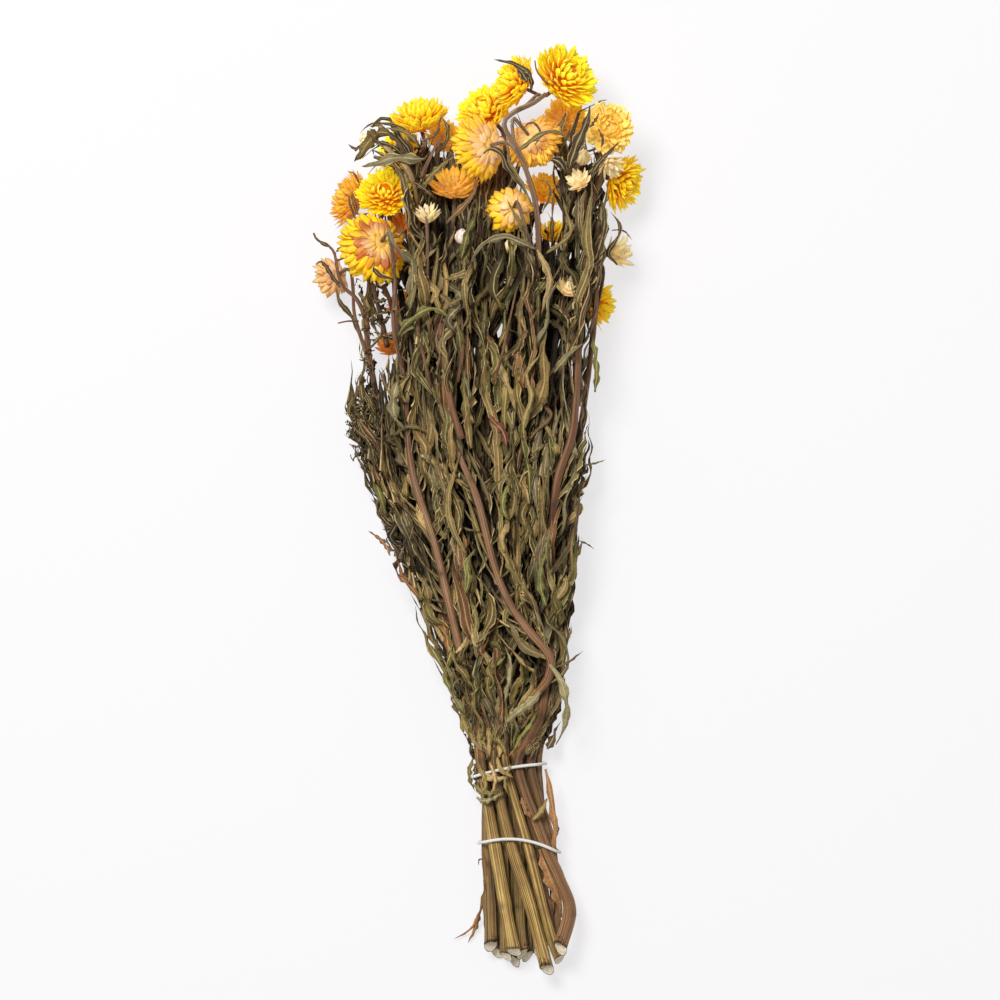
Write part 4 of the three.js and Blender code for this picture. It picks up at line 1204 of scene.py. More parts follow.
def wood_copy(axis, luck, brownness):
    """A ridged tube along one stem, branch or twig."""
    route = axis["route"]
    is_trunk = axis["sides"] == TRUNK_SIDES
    rails, cut_face = (TRUNK_RAILS, CUT_FACE_RINGS) if is_trunk else (BRANCH_RAILS, ())
    pattern = tube_pattern("wood_pattern", rails, int(route["length"] / WOOD_RING), cut_face)
    share, angle, reach = pattern["share"], pattern["angle"], pattern["reach"]
    distance = share * route["length"]
    place, along, up, side = frame_at(route, distance)
    phase, twist = luck.uniform(0, ALMOST_ROUND), luck.uniform(-WINDING, WINDING)
    # coarse and fine ridges that wind slowly round the stem
    ridge = COARSE_HEIGHT * np.cos(COARSE_RIDGES * angle + phase + twist * share)
    ridge += FINE_HEIGHT * np.cos(FINE_RIDGES * angle - phase + 2 * twist * share)
    # slow and quick changes of thickness along it, and swellings where leaves sat
    wander = SLOW_SWELL * np.sin(distance / SLOW_WANDER + phase)
    wander += QUICK_SWELL * np.sin(distance / QUICK_WANDER + 2 * phase)
    off_node = (distance + phase * 9) % NODE_SPACING - NODE_SPACING / 2
    node = np.exp(-((off_node / NODE_LENGTH) ** 2))
    thick = axis["radius"](share) * SLIMMER * (1 + ridge + wander + NODE_SWELL * node)
    arm = (reach * thick)[:, None] * (np.cos(angle)[:, None] * up + np.sin(angle)[:, None] * side)
    if is_trunk:
        slant, lean = luck.uniform(*CUT_SLANTS), luck.uniform(*CUT_LEANS)
        cut = slant * thick * (reach * np.cos(angle - lean) + 1) * np.exp(-distance / CUT_DEPTH)
        place = place + along * cut[:, None]
    ones = np.ones(len(share))
    wood = [np.cos(angle) / 2 + 0.5, np.sin(angle) / 2 + 0.5, share, ones * brownness]
    scar_turn = phase + np.floor(distance / NODE_SPACING) * NODE_TURN
    one_side = (0.5 + 0.5 * np.cos(angle - scar_turn)) ** SCAR_SHARPNESS
    # painted shade inside the bunch, kept as the second number of "scar"
    painted_shade = shade_inside(place + arm)
    scar = np.stack([node * one_side, painted_shade, ones, ones], axis=1)
    return pattern, place + arm, {"wood": np.stack(wood, axis=1), "scar": scar}


luck = np.random.default_rng(11)
for stem_name in STEMS:
    brownness = BROWN_STEMS.get(stem_name, luck.uniform(0, 0.3))
    wood = [wood_copy(axis, luck, brownness) for axis in axes_of(stem_name)]
    make_piece(f"wood_{stem_name[-2:]}", wood, [wood_finish, cut_finish], "stems_leaves", stem_name)
print("wood of", len(STEMS), "stems")

# %% [markdown]
# ## Twigs
#
# Some thin twigs stand out of the bunch or lie over it, bare or with a leaf or two. They are
# made as the stems are, from a few points each.

# %% Loose twigs
# points, radius at the foot and at the tip, how brown
TWIGS = (
    ([(-59, 99, 28), (-62, 109, 33), (-66, 116, 36), (-72, 121, 37), (-75, 129, 38), (-76, 135, 38),
      (-77, 140, 38), (-81, 144, 38), (-86, 146, 36), (-88, 150, 34)], 1.4, 0.6, 0.9),
    ([(-64, 103, 35), (-70, 103, 36), (-75, 102, 34)], 0.55, 0.4, 0.2),
    ([(-76, 135, 38), (-70, 137, 42)], 0.6, 0.4, 0.9),
    ([(-49, 90, 22), (-51, 100, 30), (-54, 113, 42), (-56, 122, 50)], 1.6, 1.2, 0.9),
    ([(-45, 104, 30), (-47, 113, 40), (-50, 121, 50)], 1.4, 1.1, 0.9),
    ([(-27, 124, 58), (-27, 135, 62), (-27, 148, 64), (-28, 162, 62)], 1.1, 0.7, 0.1),
    ([(-30, 178, 62), (-27, 185, 68), (-22, 195, 71), (-19, 200, 70)], 1.2, 0.7, 0.5),
    ([(59, 96, 46), (62, 106, 48), (63, 116, 50), (61, 126, 50)], 1.1, 0.9, 0.8),
    ([(-21, 118, 55), (-20, 100, 58), (-18, 80, 60), (-15, 60, 60), (-9, 40, 57)], 1.5, 2.0, 1.0),
    ([(-12, 122, 54), (-9, 104, 57), (-8, 88, 58), (-11, 70, 55)], 0.7, 1.0, 0.6),
    ([(20, 118, 56), (16, 100, 59), (12, 82, 58), (8, 70, 54)], 0.6, 0.9, 0.5),
    ([(-33, 112, 52), (-32, 96, 56), (-28, 80, 57), (-25, 66, 54)], 0.7, 1.1, 0.9),
    ([(37, 227, 66), (31, 234, 66), (30, 240, 62)], 0.6, 0.35, 1.0),
)


def twig_axis(points, foot, tip):
    return {"route": route_through(points), "radius": lambda share: foot + (tip - foot) * share,
            "sides": BRANCH_SIDES}


twigs = [wood_copy(twig_axis(points, foot, tip), luck, brown) for points, foot, tip, brown in TWIGS]
make_piece("loose_twigs", twigs, [wood_finish], "stems_leaves")
print(len(twigs), "loose twigs")

# %% [markdown]
# A dried blade is thin, rolls its edges in, twists along its length and shrinks unevenly, so
# its outline is crinkled and differs from side to side. Leaves deep in the bunch are darker,
# with painted shade, and so are those in the bulge at the left, which is turned from the
# light; those near the heads are darker too.

# %% Shape of a dried blade
LEAF_COLOURS = {
    "olive": srgb(144, 122, 66), "moss": srgb(118, 106, 54), "khaki": srgb(162, 132, 76),
    "straw": srgb(190, 158, 100), "brown": srgb(136, 90, 54), "dark": srgb(86, 70, 44),
    "burnt": srgb(54, 41, 28), "grey": srgb(144, 134, 96), "green": srgb(122, 122, 56),
    "tan": srgb(198, 162, 108), "red": srgb(138, 74, 54), "bark": srgb(168, 114, 70),
}

LEAF_MIX = {
    "": (("olive", 0.2), ("moss", 0.16), ("khaki", 0.16), ("straw", 0.1), ("brown", 0.13),
         ("dark", 0.13), ("grey", 0.07), ("green", 0.09)),
    "crumb": (("olive", 0.15), ("moss", 0.16), ("khaki", 0.12), ("straw", 0.07), ("brown", 0.16),
              ("dark", 0.2), ("burnt", 0.1), ("tan", 0.04)),
    "on_top": (("olive", 0.25), ("khaki", 0.13), ("straw", 0.09), ("grey", 0.13), ("moss", 0.17),
               ("tan", 0.03), ("brown", 0.08), ("green", 0.12)),
    # the tuft's and the under leaves' dark colours are partly their own and partly painted shade: of
    # the bulge turned from the light, and of the gaps they fill low in the bunch
    "tuft": (("dark", 0.45), ("moss", 0.15), ("burnt", 0.4)),
    "under": (("dark", 0.5), ("burnt", 0.2), ("brown", 0.3)),
}
LEAF_THICKNESS = 0.2
RIM_THINNER, TIP_THINNER = 0.5, 0.5
RIB_DEPTH, RIB_WIDTH = 0.28, 0.1
WAVES_ALONG = (2, 5)
CRINKLED_OUTLINE, CRINKLED_TWIST = 0.8, 1.2  # how much of a blade's crinkle shows in each
ROLL_AT_FOOT, ROLL_GROWS, ROLL_VARIES = 0.6, 0.5, 0.3
LEAST_BEND = 1e-6  # radians, so that nothing is divided by 0
ROLLED_WAYS = (1, 1, 1, -1)  # three in four roll under
SLIGHT_ROLLS, TIGHT_ROLLS = (0.3, 1.2), (1.4, 2.8)
CRINKLES = (0.1, 0.45)
COLOUR_DEPTHS, COLOUR_SHADES = (0.9, 1.2), (0.45, 1.32)
TIP_SHARE = 0.985  # a blade stops just short of its point, so that it stays a closed tube
# height on the bunch, how bright its leaves are there
DARKER_ABOVE = ((-120, 1.2), (-60, 1.1), (0, 0.86), (40, 0.8), (70, 0.82), (130, 0.68))
# the bulge at the left gets painted shade, as it is turned from the light
BULGE, BULGE_REACH, BULGE_DARKENS = (-62, 46), (15, 26), 0.55


def pick_colour(luck, kind):
    names, shares = zip(*LEAF_MIX.get(kind, LEAF_MIX[""]))
    name = luck.choice(names, p=np.array(shares) / sum(shares))
    return LEAF_COLOURS[name] ** luck.uniform(*COLOUR_DEPTHS) * luck.uniform(*COLOUR_SHADES)


def blade_copy(pattern, section, luck, colour, roll, fold, crinkle, tuck=tuck_in):
    """A dried blade. A section gives place, side, normal and half width along it."""
    share, angle = pattern["share"], pattern["angle"]
    place, side, normal, half = section
    # six waves along the blade: for its outline and rims, two each, its twist and its roll
    phase, count = luck.uniform(0, ALMOST_ROUND, 6), luck.uniform(*WAVES_ALONG, 6)
    waves = np.sin(ALMOST_ROUND * count * share[:, None] + phase)
    turn = (crinkle * CRINKLED_TWIST * waves[:, 4])[:, None]
    side, normal = (side * np.cos(turn) + normal * np.sin(turn),
                    normal * np.cos(turn) - side * np.sin(turn))
    # across the blade, from rim to rim, and through it
    u, v = np.cos(angle), -np.sin(angle)
    half = half * (1 + CRINKLED_OUTLINE * crinkle * np.where(u > 0, waves[:, 0], waves[:, 1]))
    # the rims roll in along an arc, more towards the tip
    bend = roll * (ROLL_AT_FOOT + ROLL_GROWS * share) * (1 + ROLL_VARIES * waves[:, 5]) * u
    bend = np.where(np.abs(bend) < LEAST_BEND, LEAST_BEND, bend)
    x = half * u * np.sin(bend) / bend
    lift = half * np.abs(u) * (fold - (1 - np.cos(bend)) / np.abs(bend) * np.sign(roll))
    # the rims ripple, and the blade is thinner there, with a rib on its underside
    lift = lift + half * crinkle * u * u * np.where(u > 0, waves[:, 2], waves[:, 3])
    lift = lift + v * LEAF_THICKNESS * (1 - RIM_THINNER * u * u) * (1 - TIP_THINNER * share)
    lift = lift - np.where((np.abs(u) < RIB_WIDTH) & (v < 0), RIB_DEPTH * (1 - share), 0)
    places = tuck(place + side * x[:, None] + normal * lift[:, None])
    blade = np.stack([u / 2 + 0.5, share, np.clip(0.5 - 2 * v, 0, 1),
                      np.full(len(share), luck.uniform(0, 1))], axis=1)
    colour = colour * np.interp(places[:, 1:2], *zip(*DARKER_ABOVE))
    # painted shade on the bulge at the left, which is turned from the light
    away = (((places[:, :2] - BULGE) / BULGE_REACH) ** 2).sum(1)
    colour = colour * (1 - BULGE_DARKENS * np.exp(-away))[:, None]
    # painted shade: the deeper inside the bunch, the darker
    painted_shade = shade_inside(places)[:, None]
    hue = np.hstack([painted_shade * colour, painted_shade])
    return pattern, places, {"blade": blade, "hue": hue}


def leaf_copy(leaf, luck):
    kind = "tuft" if leaf["route"] is TUFT["route"] else leaf.get("kind", "")
    pattern = {"": LEAF_PATTERN, "fill": FILL_PATTERN, "under": FILL_PATTERN}.get(kind, CRUMB_PATTERN)
    share = np.clip(pattern["share"], 0, TIP_SHARE)
    way = luck.choice(ROLLED_WAYS)
    roll = way * luck.choice([luck.uniform(*SLIGHT_ROLLS), luck.uniform(*TIGHT_ROLLS)])
    return blade_copy(pattern, leaf_section(leaf, share), luck, pick_colour(luck, kind), roll,
                      leaf["fold"], luck.uniform(*CRINKLES))


# %% [markdown]
# The leaves that settled last lie on the others in long bends. Their height comes from the
# leaves beneath them.

# %% Leaves that settled on top
NECK_POINT = (17, -230)  # the leaves on top run away from it
NEAR, ENOUGH, TOP_SHARE, BARE_TOP = 4, 8, 88, 12
ON_BARK = 0.6
TRUNK_WEIGHT = 4  # times that a trunk counts among the leaves beside it

trunk_tops = [trunk["route"]["stations"] + (0, 0, trunk["radius"](0) + ON_BARK)
              for trunk in TRUNKS for _ in range(TRUNK_WEIGHT)]
settled = np.concatenate([leaf_samples(leaf) for leaf in leaves] + trunk_tops)


def surface_at(x, y):
    """The height on which a leaf lies at a place: under most of what is near there."""
    near = settled[((settled[:, :2] - (x, y)) ** 2).sum(1) < NEAR**2]
    return np.percentile(near[:, 2], TOP_SHARE) if len(near) > ENOUGH else BARE_TOP


def lies_on_top(luck, x, y, length, swing, lift):
    """A bending path that runs away from the neck over the leaves below it."""
    lean = (x - NECK_POINT[0]) / (y - NECK_POINT[1])
    phase, bends = luck.uniform(0, ALMOST_ROUND), luck.uniform(0.6, 1.5)
    points = []
    for share in (0, 0.2, 0.4, 0.6, 0.8, 1):
        swerve = swing * (math.sin(ALMOST_ROUND * bends * share + phase) - math.sin(phase))
        at = (x + lean * length * share + swerve, y + length * share)
        points.append((*at, surface_at(*at) + lift * math.sin(math.pi * (0.2 + 0.8 * share))))
    return points


def clears(path, room):
    """True where a path keeps clear of the stems and gaps that stay in sight."""
    gaps = ((np.array(path)[:, None] - curtain) ** 2).sum(2)
    return not (gaps < (widths + room) ** 2).any()


# how many; where the foot may lie, up the bunch and in from the sides; length; sideways swing;
# how high the middle lifts; room to what stays in sight; half the width; kind
TOP_LEAVES = (
    (150, (-118, 112), (4, 4), (24, 56), 6, (2, 6.5), 1.5, (1.4, 3.2), "on_top"),
    (35, (-118, 40), (5, 5), (34, 62), 6, (3, 7), 2, (2.2, 3.6), "on_top"),
    (55, (-133, -104), (1, 3), (12, 34), 4, (0.5, 3), -1.5, (1.0, 2.3), "crumb"),
)
SIDES_BEGIN = -130.9  # under this the sides are wide open

luck = np.random.default_rng(61)
on_top = []
for count, heights, inwards, lengths, swing, lifts, room, halves, kind in TOP_LEAVES:
    enough = len(on_top) + count
    while len(on_top) < enough:
        y = luck.uniform(*heights)
        left, right = sides_at(max(y, SIDES_BEGIN))
        x = luck.uniform(left + inwards[0], right - inwards[1])
        path = lies_on_top(luck, x, y, luck.uniform(*lengths), luck.uniform(-swing, swing),
                           luck.uniform(*lifts))
        if clears(path, room):
            on_top.append((path, luck.uniform(*halves), kind))
print(len(on_top), "leaves on top")

# %% Foliage of each stem
luck = np.random.default_rng(23)
for stem_name in STEMS:
    own = [leaf_copy(leaf, luck) for leaf in leaves if leaf["stem"] == stem_name]
    make_piece(f"foliage_{stem_name[-2:]}", own, [leaf_finish], "stems_leaves", stem_name)
print("foliage of", len(STEMS), "stems")

# %% [markdown]
# ## Leaves that lie over the bunch
#
# Some broad or bent leaves lie in plain sight, over the heads, across the foliage and round
# the neck. Chance doesn't put them there, so each has its own path: its points from the foot
# to the tip, half its width, and its colour.

# %% Loose leaves
LOOSE_SLIMMER, LOOSE_FOOT = 0.85, 0.3
LOOSE_LEAVES = (
    # over the heads at the upper left
    ([(-30, 194, 62), (-39, 203, 68), (-48, 206, 70), (-57, 206, 68), (-63, 201, 64)], 1.3, "dark"),
    ([(-39, 188, 62), (-43, 193, 66), (-49, 196, 68), (-55, 198, 66), (-58, 203, 62)], 2.0, "dark"),
    ([(-31, 194, 64), (-36, 200, 71), (-43, 203, 73), (-49, 204, 70)], 3.0, "olive"),
    ([(-28, 188, 62), (-38, 188, 68), (-46, 188, 70), (-54, 185, 68), (-62, 184, 64)], 3.4, "grey"),
    ([(-63, 195, 60), (-65, 193, 60), (-69, 196, 58)], 1.6, "dark"),
    ([(-30, 197, 66), (-22, 201, 70), (-20, 209, 71), (-16, 212, 69)], 1.2, "dark"),
    ([(-19, 209, 70), (-16, 204, 72), (-17, 196, 70), (-22, 190, 64)], 1.8, "dark"),
    ([(-29, 174, 62), (-22, 182, 68), (-12, 190, 70)], 2.6, "olive"),
    ([(-36, 177, 62), (-30, 173, 66), (-25, 169, 66), (-21, 166, 60)], 1.6, "dark"),
    # round the heads at the left
    ([(-36, 105, 52), (-35, 121, 62), (-35, 134, 70), (-40, 137, 76), (-45, 143, 79),
      (-47, 149, 79), (-49, 156, 77)], 4.2, "grey"),
    ([(-63, 175, 46), (-66, 181, 50), (-70, 182, 50)], 0.9, "dark"),
    ([(-65, 156, 50), (-68, 164, 56), (-69, 170, 56), (-72, 167, 54)], 0.9, "dark"),
    ([(-64, 159, 54), (-66, 166, 58), (-67, 172, 56)], 1.9, "brown"),
    ([(-76, 139, 36), (-80, 143, 38), (-86, 146, 38), (-88, 150, 34)], 1.4, "dark"),
    ([(-76, 140, 36), (-74, 142, 38), (-72, 143, 38)], 1.2, "dark"),
    ([(-74, 121, 36), (-78, 127, 40), (-84, 135, 42), (-87, 132, 40)], 1.5, "dark"),
    ([(-76, 120, 34), (-74, 113, 32), (-68, 106, 28), (-64, 95, 26)], 2.0, "dark"),
    ([(-64, 118, 38), (-58, 111, 34), (-57, 103, 30), (-53, 94, 28)], 2.4, "moss"),
    ([(-43, 94, 54), (-39, 100, 60), (-30, 107, 66), (-22, 109, 67), (-16, 104, 64),
      (-15, 96, 58)], 3.2, "green"),
    # over the middle of the heads
    ([(-3, 129, 62), (-11, 126, 66), (-18, 124, 62)], 2.4, "olive"),
    ([(31, 140, 66), (35, 132, 68), (38, 124, 67), (36, 114, 63), (33, 105, 58)], 2.9, "tan"),
    ([(31, 140, 66), (23, 143, 71), (15, 146, 73), (6, 144, 72), (0, 139, 68),
      (-5, 132, 63)], 3.3, "grey"),
    ([(28, 223, 66), (28, 229, 72), (25, 234, 74), (17, 238, 74), (8, 240, 70)], 1.9, "dark"),
    ([(26, 228, 73), (23, 233, 75), (20, 236, 74)], 2.8, "dark"),
    ([(48, 183, 66), (52, 195, 73), (57, 207, 76), (59, 216, 74)], 4.8, "dark"),
    ([(59, 204, 73), (62, 208, 74), (64, 212, 72)], 1.3, "dark"),
    ([(20, 191, 70), (27, 196, 74), (35, 201, 74), (43, 201, 72), (49, 196, 68)], 2.2, "olive"),
    ([(39, 188, 62), (43, 186, 66), (47, 180, 64)], 3.8, "burnt"),
    ([(30, 195, 70), (33, 201, 74), (28, 207, 74), (23, 202, 72)], 1.0, "dark"),
    ([(28, 164, 68), (23, 175, 73), (17, 185, 76), (15, 195, 76), (11, 202, 74)], 1.6, "olive"),
    ([(3, 190, 76), (7, 193, 79), (13, 189, 79), (15, 183, 77), (20, 177, 74),
      (26, 168, 69)], 2.4, "dark"),
    ([(36, 138, 60), (43, 143, 62), (49, 149, 62), (47, 159, 60), (44, 170, 58)], 2.5, "olive"),
    ([(34, 160, 62), (38, 169, 64), (37, 175, 64), (32, 177, 62)], 1.1, "dark"),
    ([(-9, 135, 56), (-6, 148, 60), (-2, 157, 60), (0, 166, 56)], 2.6, "green"),
    ([(-17, 154, 60), (-12, 159, 63), (-3, 169, 64), (-1, 180, 60)], 1.9, "brown"),
    ([(25, 143, 62), (23, 152, 66), (19, 159, 68), (15, 167, 66)], 1.6, "olive"),
    # round the heads at the right
    ([(65, 194, 68), (66, 198, 72), (63, 204, 72)], 1.3, "dark"),
    ([(60, 178, 64), (62, 183, 70), (67, 189, 72), (72, 193, 68)], 2.3, "dark"),
    ([(53, 100, 52), (52, 112, 58), (56, 122, 62), (59, 133, 64), (57, 144, 66), (58, 158, 66),
      (60, 170, 66), (59, 179, 64)], 3.6, "olive"),
    ([(64, 127, 48), (63, 137, 54), (66, 148, 58), (67, 159, 58), (64, 168, 56)], 3.2, "dark"),
    ([(74, 133, 40), (69, 139, 46), (74, 147, 50), (75, 154, 50), (70, 161, 48)], 2.0, "dark"),
    ([(71, 151, 46), (77, 151, 46), (82, 146, 42)], 0.9, "dark"),
    # across the foliage
    ([(-43, 70, 58), (-45, 61, 62), (-44, 52, 62), (-38, 44, 58)], 3.6, "grey"),
    ([(15, 36, 58), (13, 44, 62), (8, 49, 64), (5, 54, 62)], 3.4, "red"),
    ([(-47, -22, 48), (-49, -17, 46), (-54, -12, 42), (-59, -9, 38)], 1.9, "brown"),
    ([(62, 65, 44), (63, 76, 48), (62, 88, 46), (60, 97, 42)], 2.6, "green"),
    ([(40, 75, 54), (45, 81, 60), (51, 87, 60), (57, 91, 54)], 3.0, "grey"),
    ([(56, 26, 40), (62, 27, 40), (68, 29, 36)], 0.8, "dark"),
    ([(53, -14, 36), (58, -16, 36), (62, -19, 32)], 0.7, "dark"),
    ([(41, -82, 38), (48, -79, 40), (56, -73, 36)], 1.1, "dark"),
    ([(16, -3, 52), (13, 3, 55), (14, 12, 55), (18, 18, 52)], 3.2, "green"),
    ([(-7, -42, 50), (-5, -34, 54), (-6, -26, 54), (-1, -18, 50)], 2.6, "green"),
    ([(36, -49, 44), (33, -38, 48), (34, -27, 50), (38, -17, 46)], 2.6, "green"),
    ([(-6, -22, 50), (-13, -9, 56), (-16, 5, 58), (-14, 19, 56), (-9, 33, 52)], 2.2, "olive"),
    # over the neck, and down from it over the ties
    ([(33, -95, 42), (28, -100, 46), (20, -106, 46), (13, -113, 42)], 3.6, "grey"),
    ([(38, -80, 44), (44, -89, 47), (47, -101, 45), (46, -114, 38), (41, -124, 30)], 3.0, "grey"),
    ([(14, -100, 40), (16, -89, 44), (17, -79, 46), (14, -70, 44)], 2.6, "grey"),
    ([(19, -127, 30), (22, -120, 34), (28, -112, 36), (33, -102, 36)], 2.2, "green"),
    ([(1, -137, 24), (5, -141, 26), (12, -142, 26), (18, -139, 25)], 2.2, "tan"),
    ([(-1, -152, 24), (3, -154, 26), (8, -152, 26), (14, -149, 25)], 2.4, "grey"),
    ([(23, -152, 24), (25, -158, 26), (29, -164, 26)], 2.0, "brown"),
    ([(29, -164, 26), (33, -160, 26), (37, -152, 24)], 2.0, "olive"),
    ([(36, -137, 19), (39, -153, 21), (41, -170, 20), (39, -189, 18)], 3.0, "bark"),
    ([(-2, -134, 20), (-1, -143, 20), (2, -153, 18)], 2.4, "dark"),
    ([(-3, -131, 20), (-5, -140, 20), (-2, -149, 18)], 1.9, "moss"),
    ([(0, -134, 25), (4, -145, 27), (1, -156, 25)], 2.0, "olive"),
    ([(6, -133, 27), (9, -143, 29), (6, -151, 27)], 1.7, "tan"),
    ([(-3, -145, 22), (4, -150, 28), (12, -147, 28)], 1.9, "moss"),
    ([(17, -134, 26), (14, -144, 28), (17, -152, 27)], 1.6, "olive"),
    ([(10, -130, 28), (12, -137, 30), (19, -141, 29)], 1.6, "khaki"),
    ([(2, -180, 16), (4, -198, 15), (2, -209, 11), (-1, -220, 6), (-7, -226, 3),
      (-14, -230, 2)], 1.9, "bark"),
    ([(1, -213, 8), (-2, -224, 4), (-6, -232, 2)], 1.5, "bark"),
    ([(4, -186, 15), (4, -202, 14), (3, -216, 12), (4, -228, 9)], 1.6, "bark"),
    ([(33, -180, 21), (38, -194, 20), (43, -207, 18), (45, -218, 14)], 4.6, "bark"),
    ([(31, -186, 17), (35, -200, 16), (39, -213, 14), (40, -222, 12)], 4.0, "brown"),
    ([(3, -185, 16), (0, -186, 16), (0, -189, 14)], 0.7, "dark"),
    ([(41, -175, 18), (43, -169, 18), (41, -164, 16)], 0.7, "dark"),
)


def loose_section(points, half, share, twist):
    """Place, side, normal and half width of a blade that follows its own points."""
    route = route_through(points)
    place, _, up, side = frame_at(route, share * route["length"])
    turn = (twist * share)[:, None]
    side, normal = (side * np.cos(turn) + up * np.sin(turn),
                    up * np.cos(turn) - side * np.sin(turn))
    full = np.sin(math.pi * share.clip(0, 1) ** 0.8).clip(0) ** 0.8
    return place, side, normal, half * np.maximum(LOOSE_FOOT * (1 - share), full)


# %% Long leaves that lie on the others
# x and y of their points, half the width, colour; the height of each point over the others
DRAPED_LEAVES = (
    ([(-33, 6), (-37, 21), (-39, 43)], 1.7, "tan"),
    ([(22, -49), (33, -15), (37, 12), (36, 32)], 3.0, "moss"),
    ([(22, -23), (24, -9), (25, 11)], 1.5, "green"),
    ([(5, 6), (9, 15), (19, 20), (31, 17)], 1.7, "moss"),
    ([(-17, 18), (-21, 32), (-27, 44), (-39, 46), (-50, 37)], 1.6, "moss"),
    ([(10, -23), (16, -6), (19, 12), (8, 30), (-2, 46), (-17, 59)], 2.0, "olive"),
    ([(22, 50), (20, 58), (13, 75), (7, 91)], 1.9, "straw"),
    ([(19, 73), (22, 91), (27, 99)], 3.2, "brown"),
    ([(-4, 40), (1, 54), (5, 73), (1, 98)], 2.2, "moss"),
    ([(21, 43), (28, 54), (34, 64), (33, 81)], 3.0, "olive"),
    ([(-16, -88), (-23, -75), (-31, -63), (-34, -49)], 2.4, "moss"),
    ([(-9, -76), (-5, -67), (1, -56), (9, -47)], 1.7, "olive"),
    ([(18, -127), (19, -117), (18, -107), (18, -97)], 1.9, "green"),
    ([(2, -87), (11, -93), (22, -93), (31, -88), (36, -83)], 1.4, "dark"),
    ([(-5, -72), (1, -64), (9, -60), (17, -59)], 1.7, "moss"),
    ([(0, -70), (9, -68), (17, -66)], 1.9, "green"),
    ([(-1, -133), (-5, -125), (-8, -117)], 2.1, "dark"),
    ([(-8, -117), (-12, -107), (-15, -97)], 2.3, "moss"),
    ([(37, -126), (41, -119), (46, -111)], 3.4, "dark"),
    ([(44, -75), (47, -66), (46, -57), (47, -49)], 2.2, "dark"),
)
DRAPED_RISES = (0.5, 2.5, 3.5, 3.0, 2.5, 1.0)
DRAPED_SHADE = 0.9
FOLD = 0.2

loose = []
luck = np.random.default_rng(47)


def lay_leaf(points, half, twist, colour, roll, fold, crinkle, pattern=LEAF_PATTERN, tuck=tuck_in):
    """A leaf with a path of its own."""
    section = loose_section(points, half, pattern["share"].clip(0, TIP_SHARE), twist)
    loose.append(blade_copy(pattern, section, luck, colour, roll, fold, crinkle, tuck))


for points, half, colour in LOOSE_LEAVES:
    lay_leaf(points, half * LOOSE_SLIMMER, luck.uniform(-1.0, 1.0), LEAF_COLOURS[colour],
             luck.uniform(0.7, 1.9), FOLD, luck.uniform(0.2, 0.45), tuck=lambda places: places)
for points, half, colour in DRAPED_LEAVES:
    path = [(x, y, surface_at(x, y) + rise) for (x, y), rise in zip(points, DRAPED_RISES)]
    lay_leaf(path, half, luck.uniform(-1.2, 1.2), LEAF_COLOURS[colour] * DRAPED_SHADE,
             luck.uniform(0.7, 1.9), FOLD, luck.uniform(0.25, 0.45))
for path, half, kind in on_top:
    lay_leaf(path, half, luck.uniform(-2.5, 2.5), pick_colour(luck, kind),
             luck.uniform(0.4, 2.0), luck.uniform(0.1, 0.7), luck.uniform(0.15, 0.4))
print(len(loose), "leaves that lie over the bunch")

# %% Small leaves at the left
BULGE_LEAVES, TWIG_LEAVES = 65, 35  # in the left bulge, and on the twigs over it
BULGE_MIDDLE = (-60, 48)
# twigs at the left that carry a few small leaves: foot and head
BARE_TWIGS = (((-45, 96, 26), (-50, 119, 48)), ((-60, 92, 26), (-74, 125, 36)),
              ((-51, 92, 24), (-56, 116, 44)), ((-57, 72, 25), (-64, 96, 25)),
              ((-55, 64, 25), (-58, 100, 26)))

for number in range(BULGE_LEAVES + TWIG_LEAVES):
    way = luck.uniform(1.2, 3.8)
    start = np.array([BULGE_MIDDLE[0] + luck.uniform(-10, 8), BULGE_MIDDLE[1] + luck.uniform(-17, 15),
                      luck.uniform(12, 34)])
    if number >= BULGE_LEAVES:
        foot, head = np.array(BARE_TWIGS[number % len(BARE_TWIGS)])
        start = foot + (head - foot) * luck.uniform(0, 1)
    step = np.array([math.cos(way), math.sin(way), luck.uniform(-0.3, 0.5)]) * luck.uniform(4, 7)
    bend = luck.normal(0, 1.8, 3)
    lay_leaf([start, start + step + bend, start + 2 * step - bend], luck.uniform(0.8, 2.0),
             luck.uniform(-3, 3), pick_colour(luck, "tuft"), luck.uniform(0.8, 2.4), FOLD, 0.5)
print(BULGE_LEAVES + TWIG_LEAVES, "small leaves at the left")

# %% Dark leaves at the bottom of the bunch
# their dark colours are partly painted shade of the gaps that they fill
# how many leaves, and where they start: x, y and z from and to
LOW_LEAVES = ((260, (-34, 38), (-40, 122), (2, 22)), (110, (-31, 8), (116, 168), (6, 34)))
LOW_STEP, LOW_LENGTH, LOW_RISE = 16, 36, 3

for number in range(sum(patch[0] for patch in LOW_LEAVES)):
    x, y, z = (luck.uniform(*limits) for limits in LOW_LEAVES[0][1:])
    if number >= LOW_LEAVES[0][0]:
        x, y, z = (luck.uniform(*limits) for limits in LOW_LEAVES[1][1:])
    lean = luck.uniform(-5, 5) + x / 9
    path = [(x, y, z), (x + lean, y + LOW_STEP, z + LOW_RISE), (x + 2 * lean, y + LOW_LENGTH, z)]
    lay_leaf(path, luck.uniform(2, 4), luck.uniform(-1, 1), pick_colour(luck, "under"),
             1.0, FOLD, 0.3, FILL_PATTERN)
make_piece("loose_leaves", loose, [leaf_finish], "stems_leaves")
print(len(loose), "loose leaves")

# %% [markdown]
# ## Flower heads
#
# A strawflower has no petals: rows of papery bracts overlap like roof tiles from the stalk
# up, short and brown at the bottom, long and bright at the widest ring, and curled over the
# middle. They are set out as a sunflower sets its seeds, each a golden angle on from the
# one before, so that every bract stands over a gap.

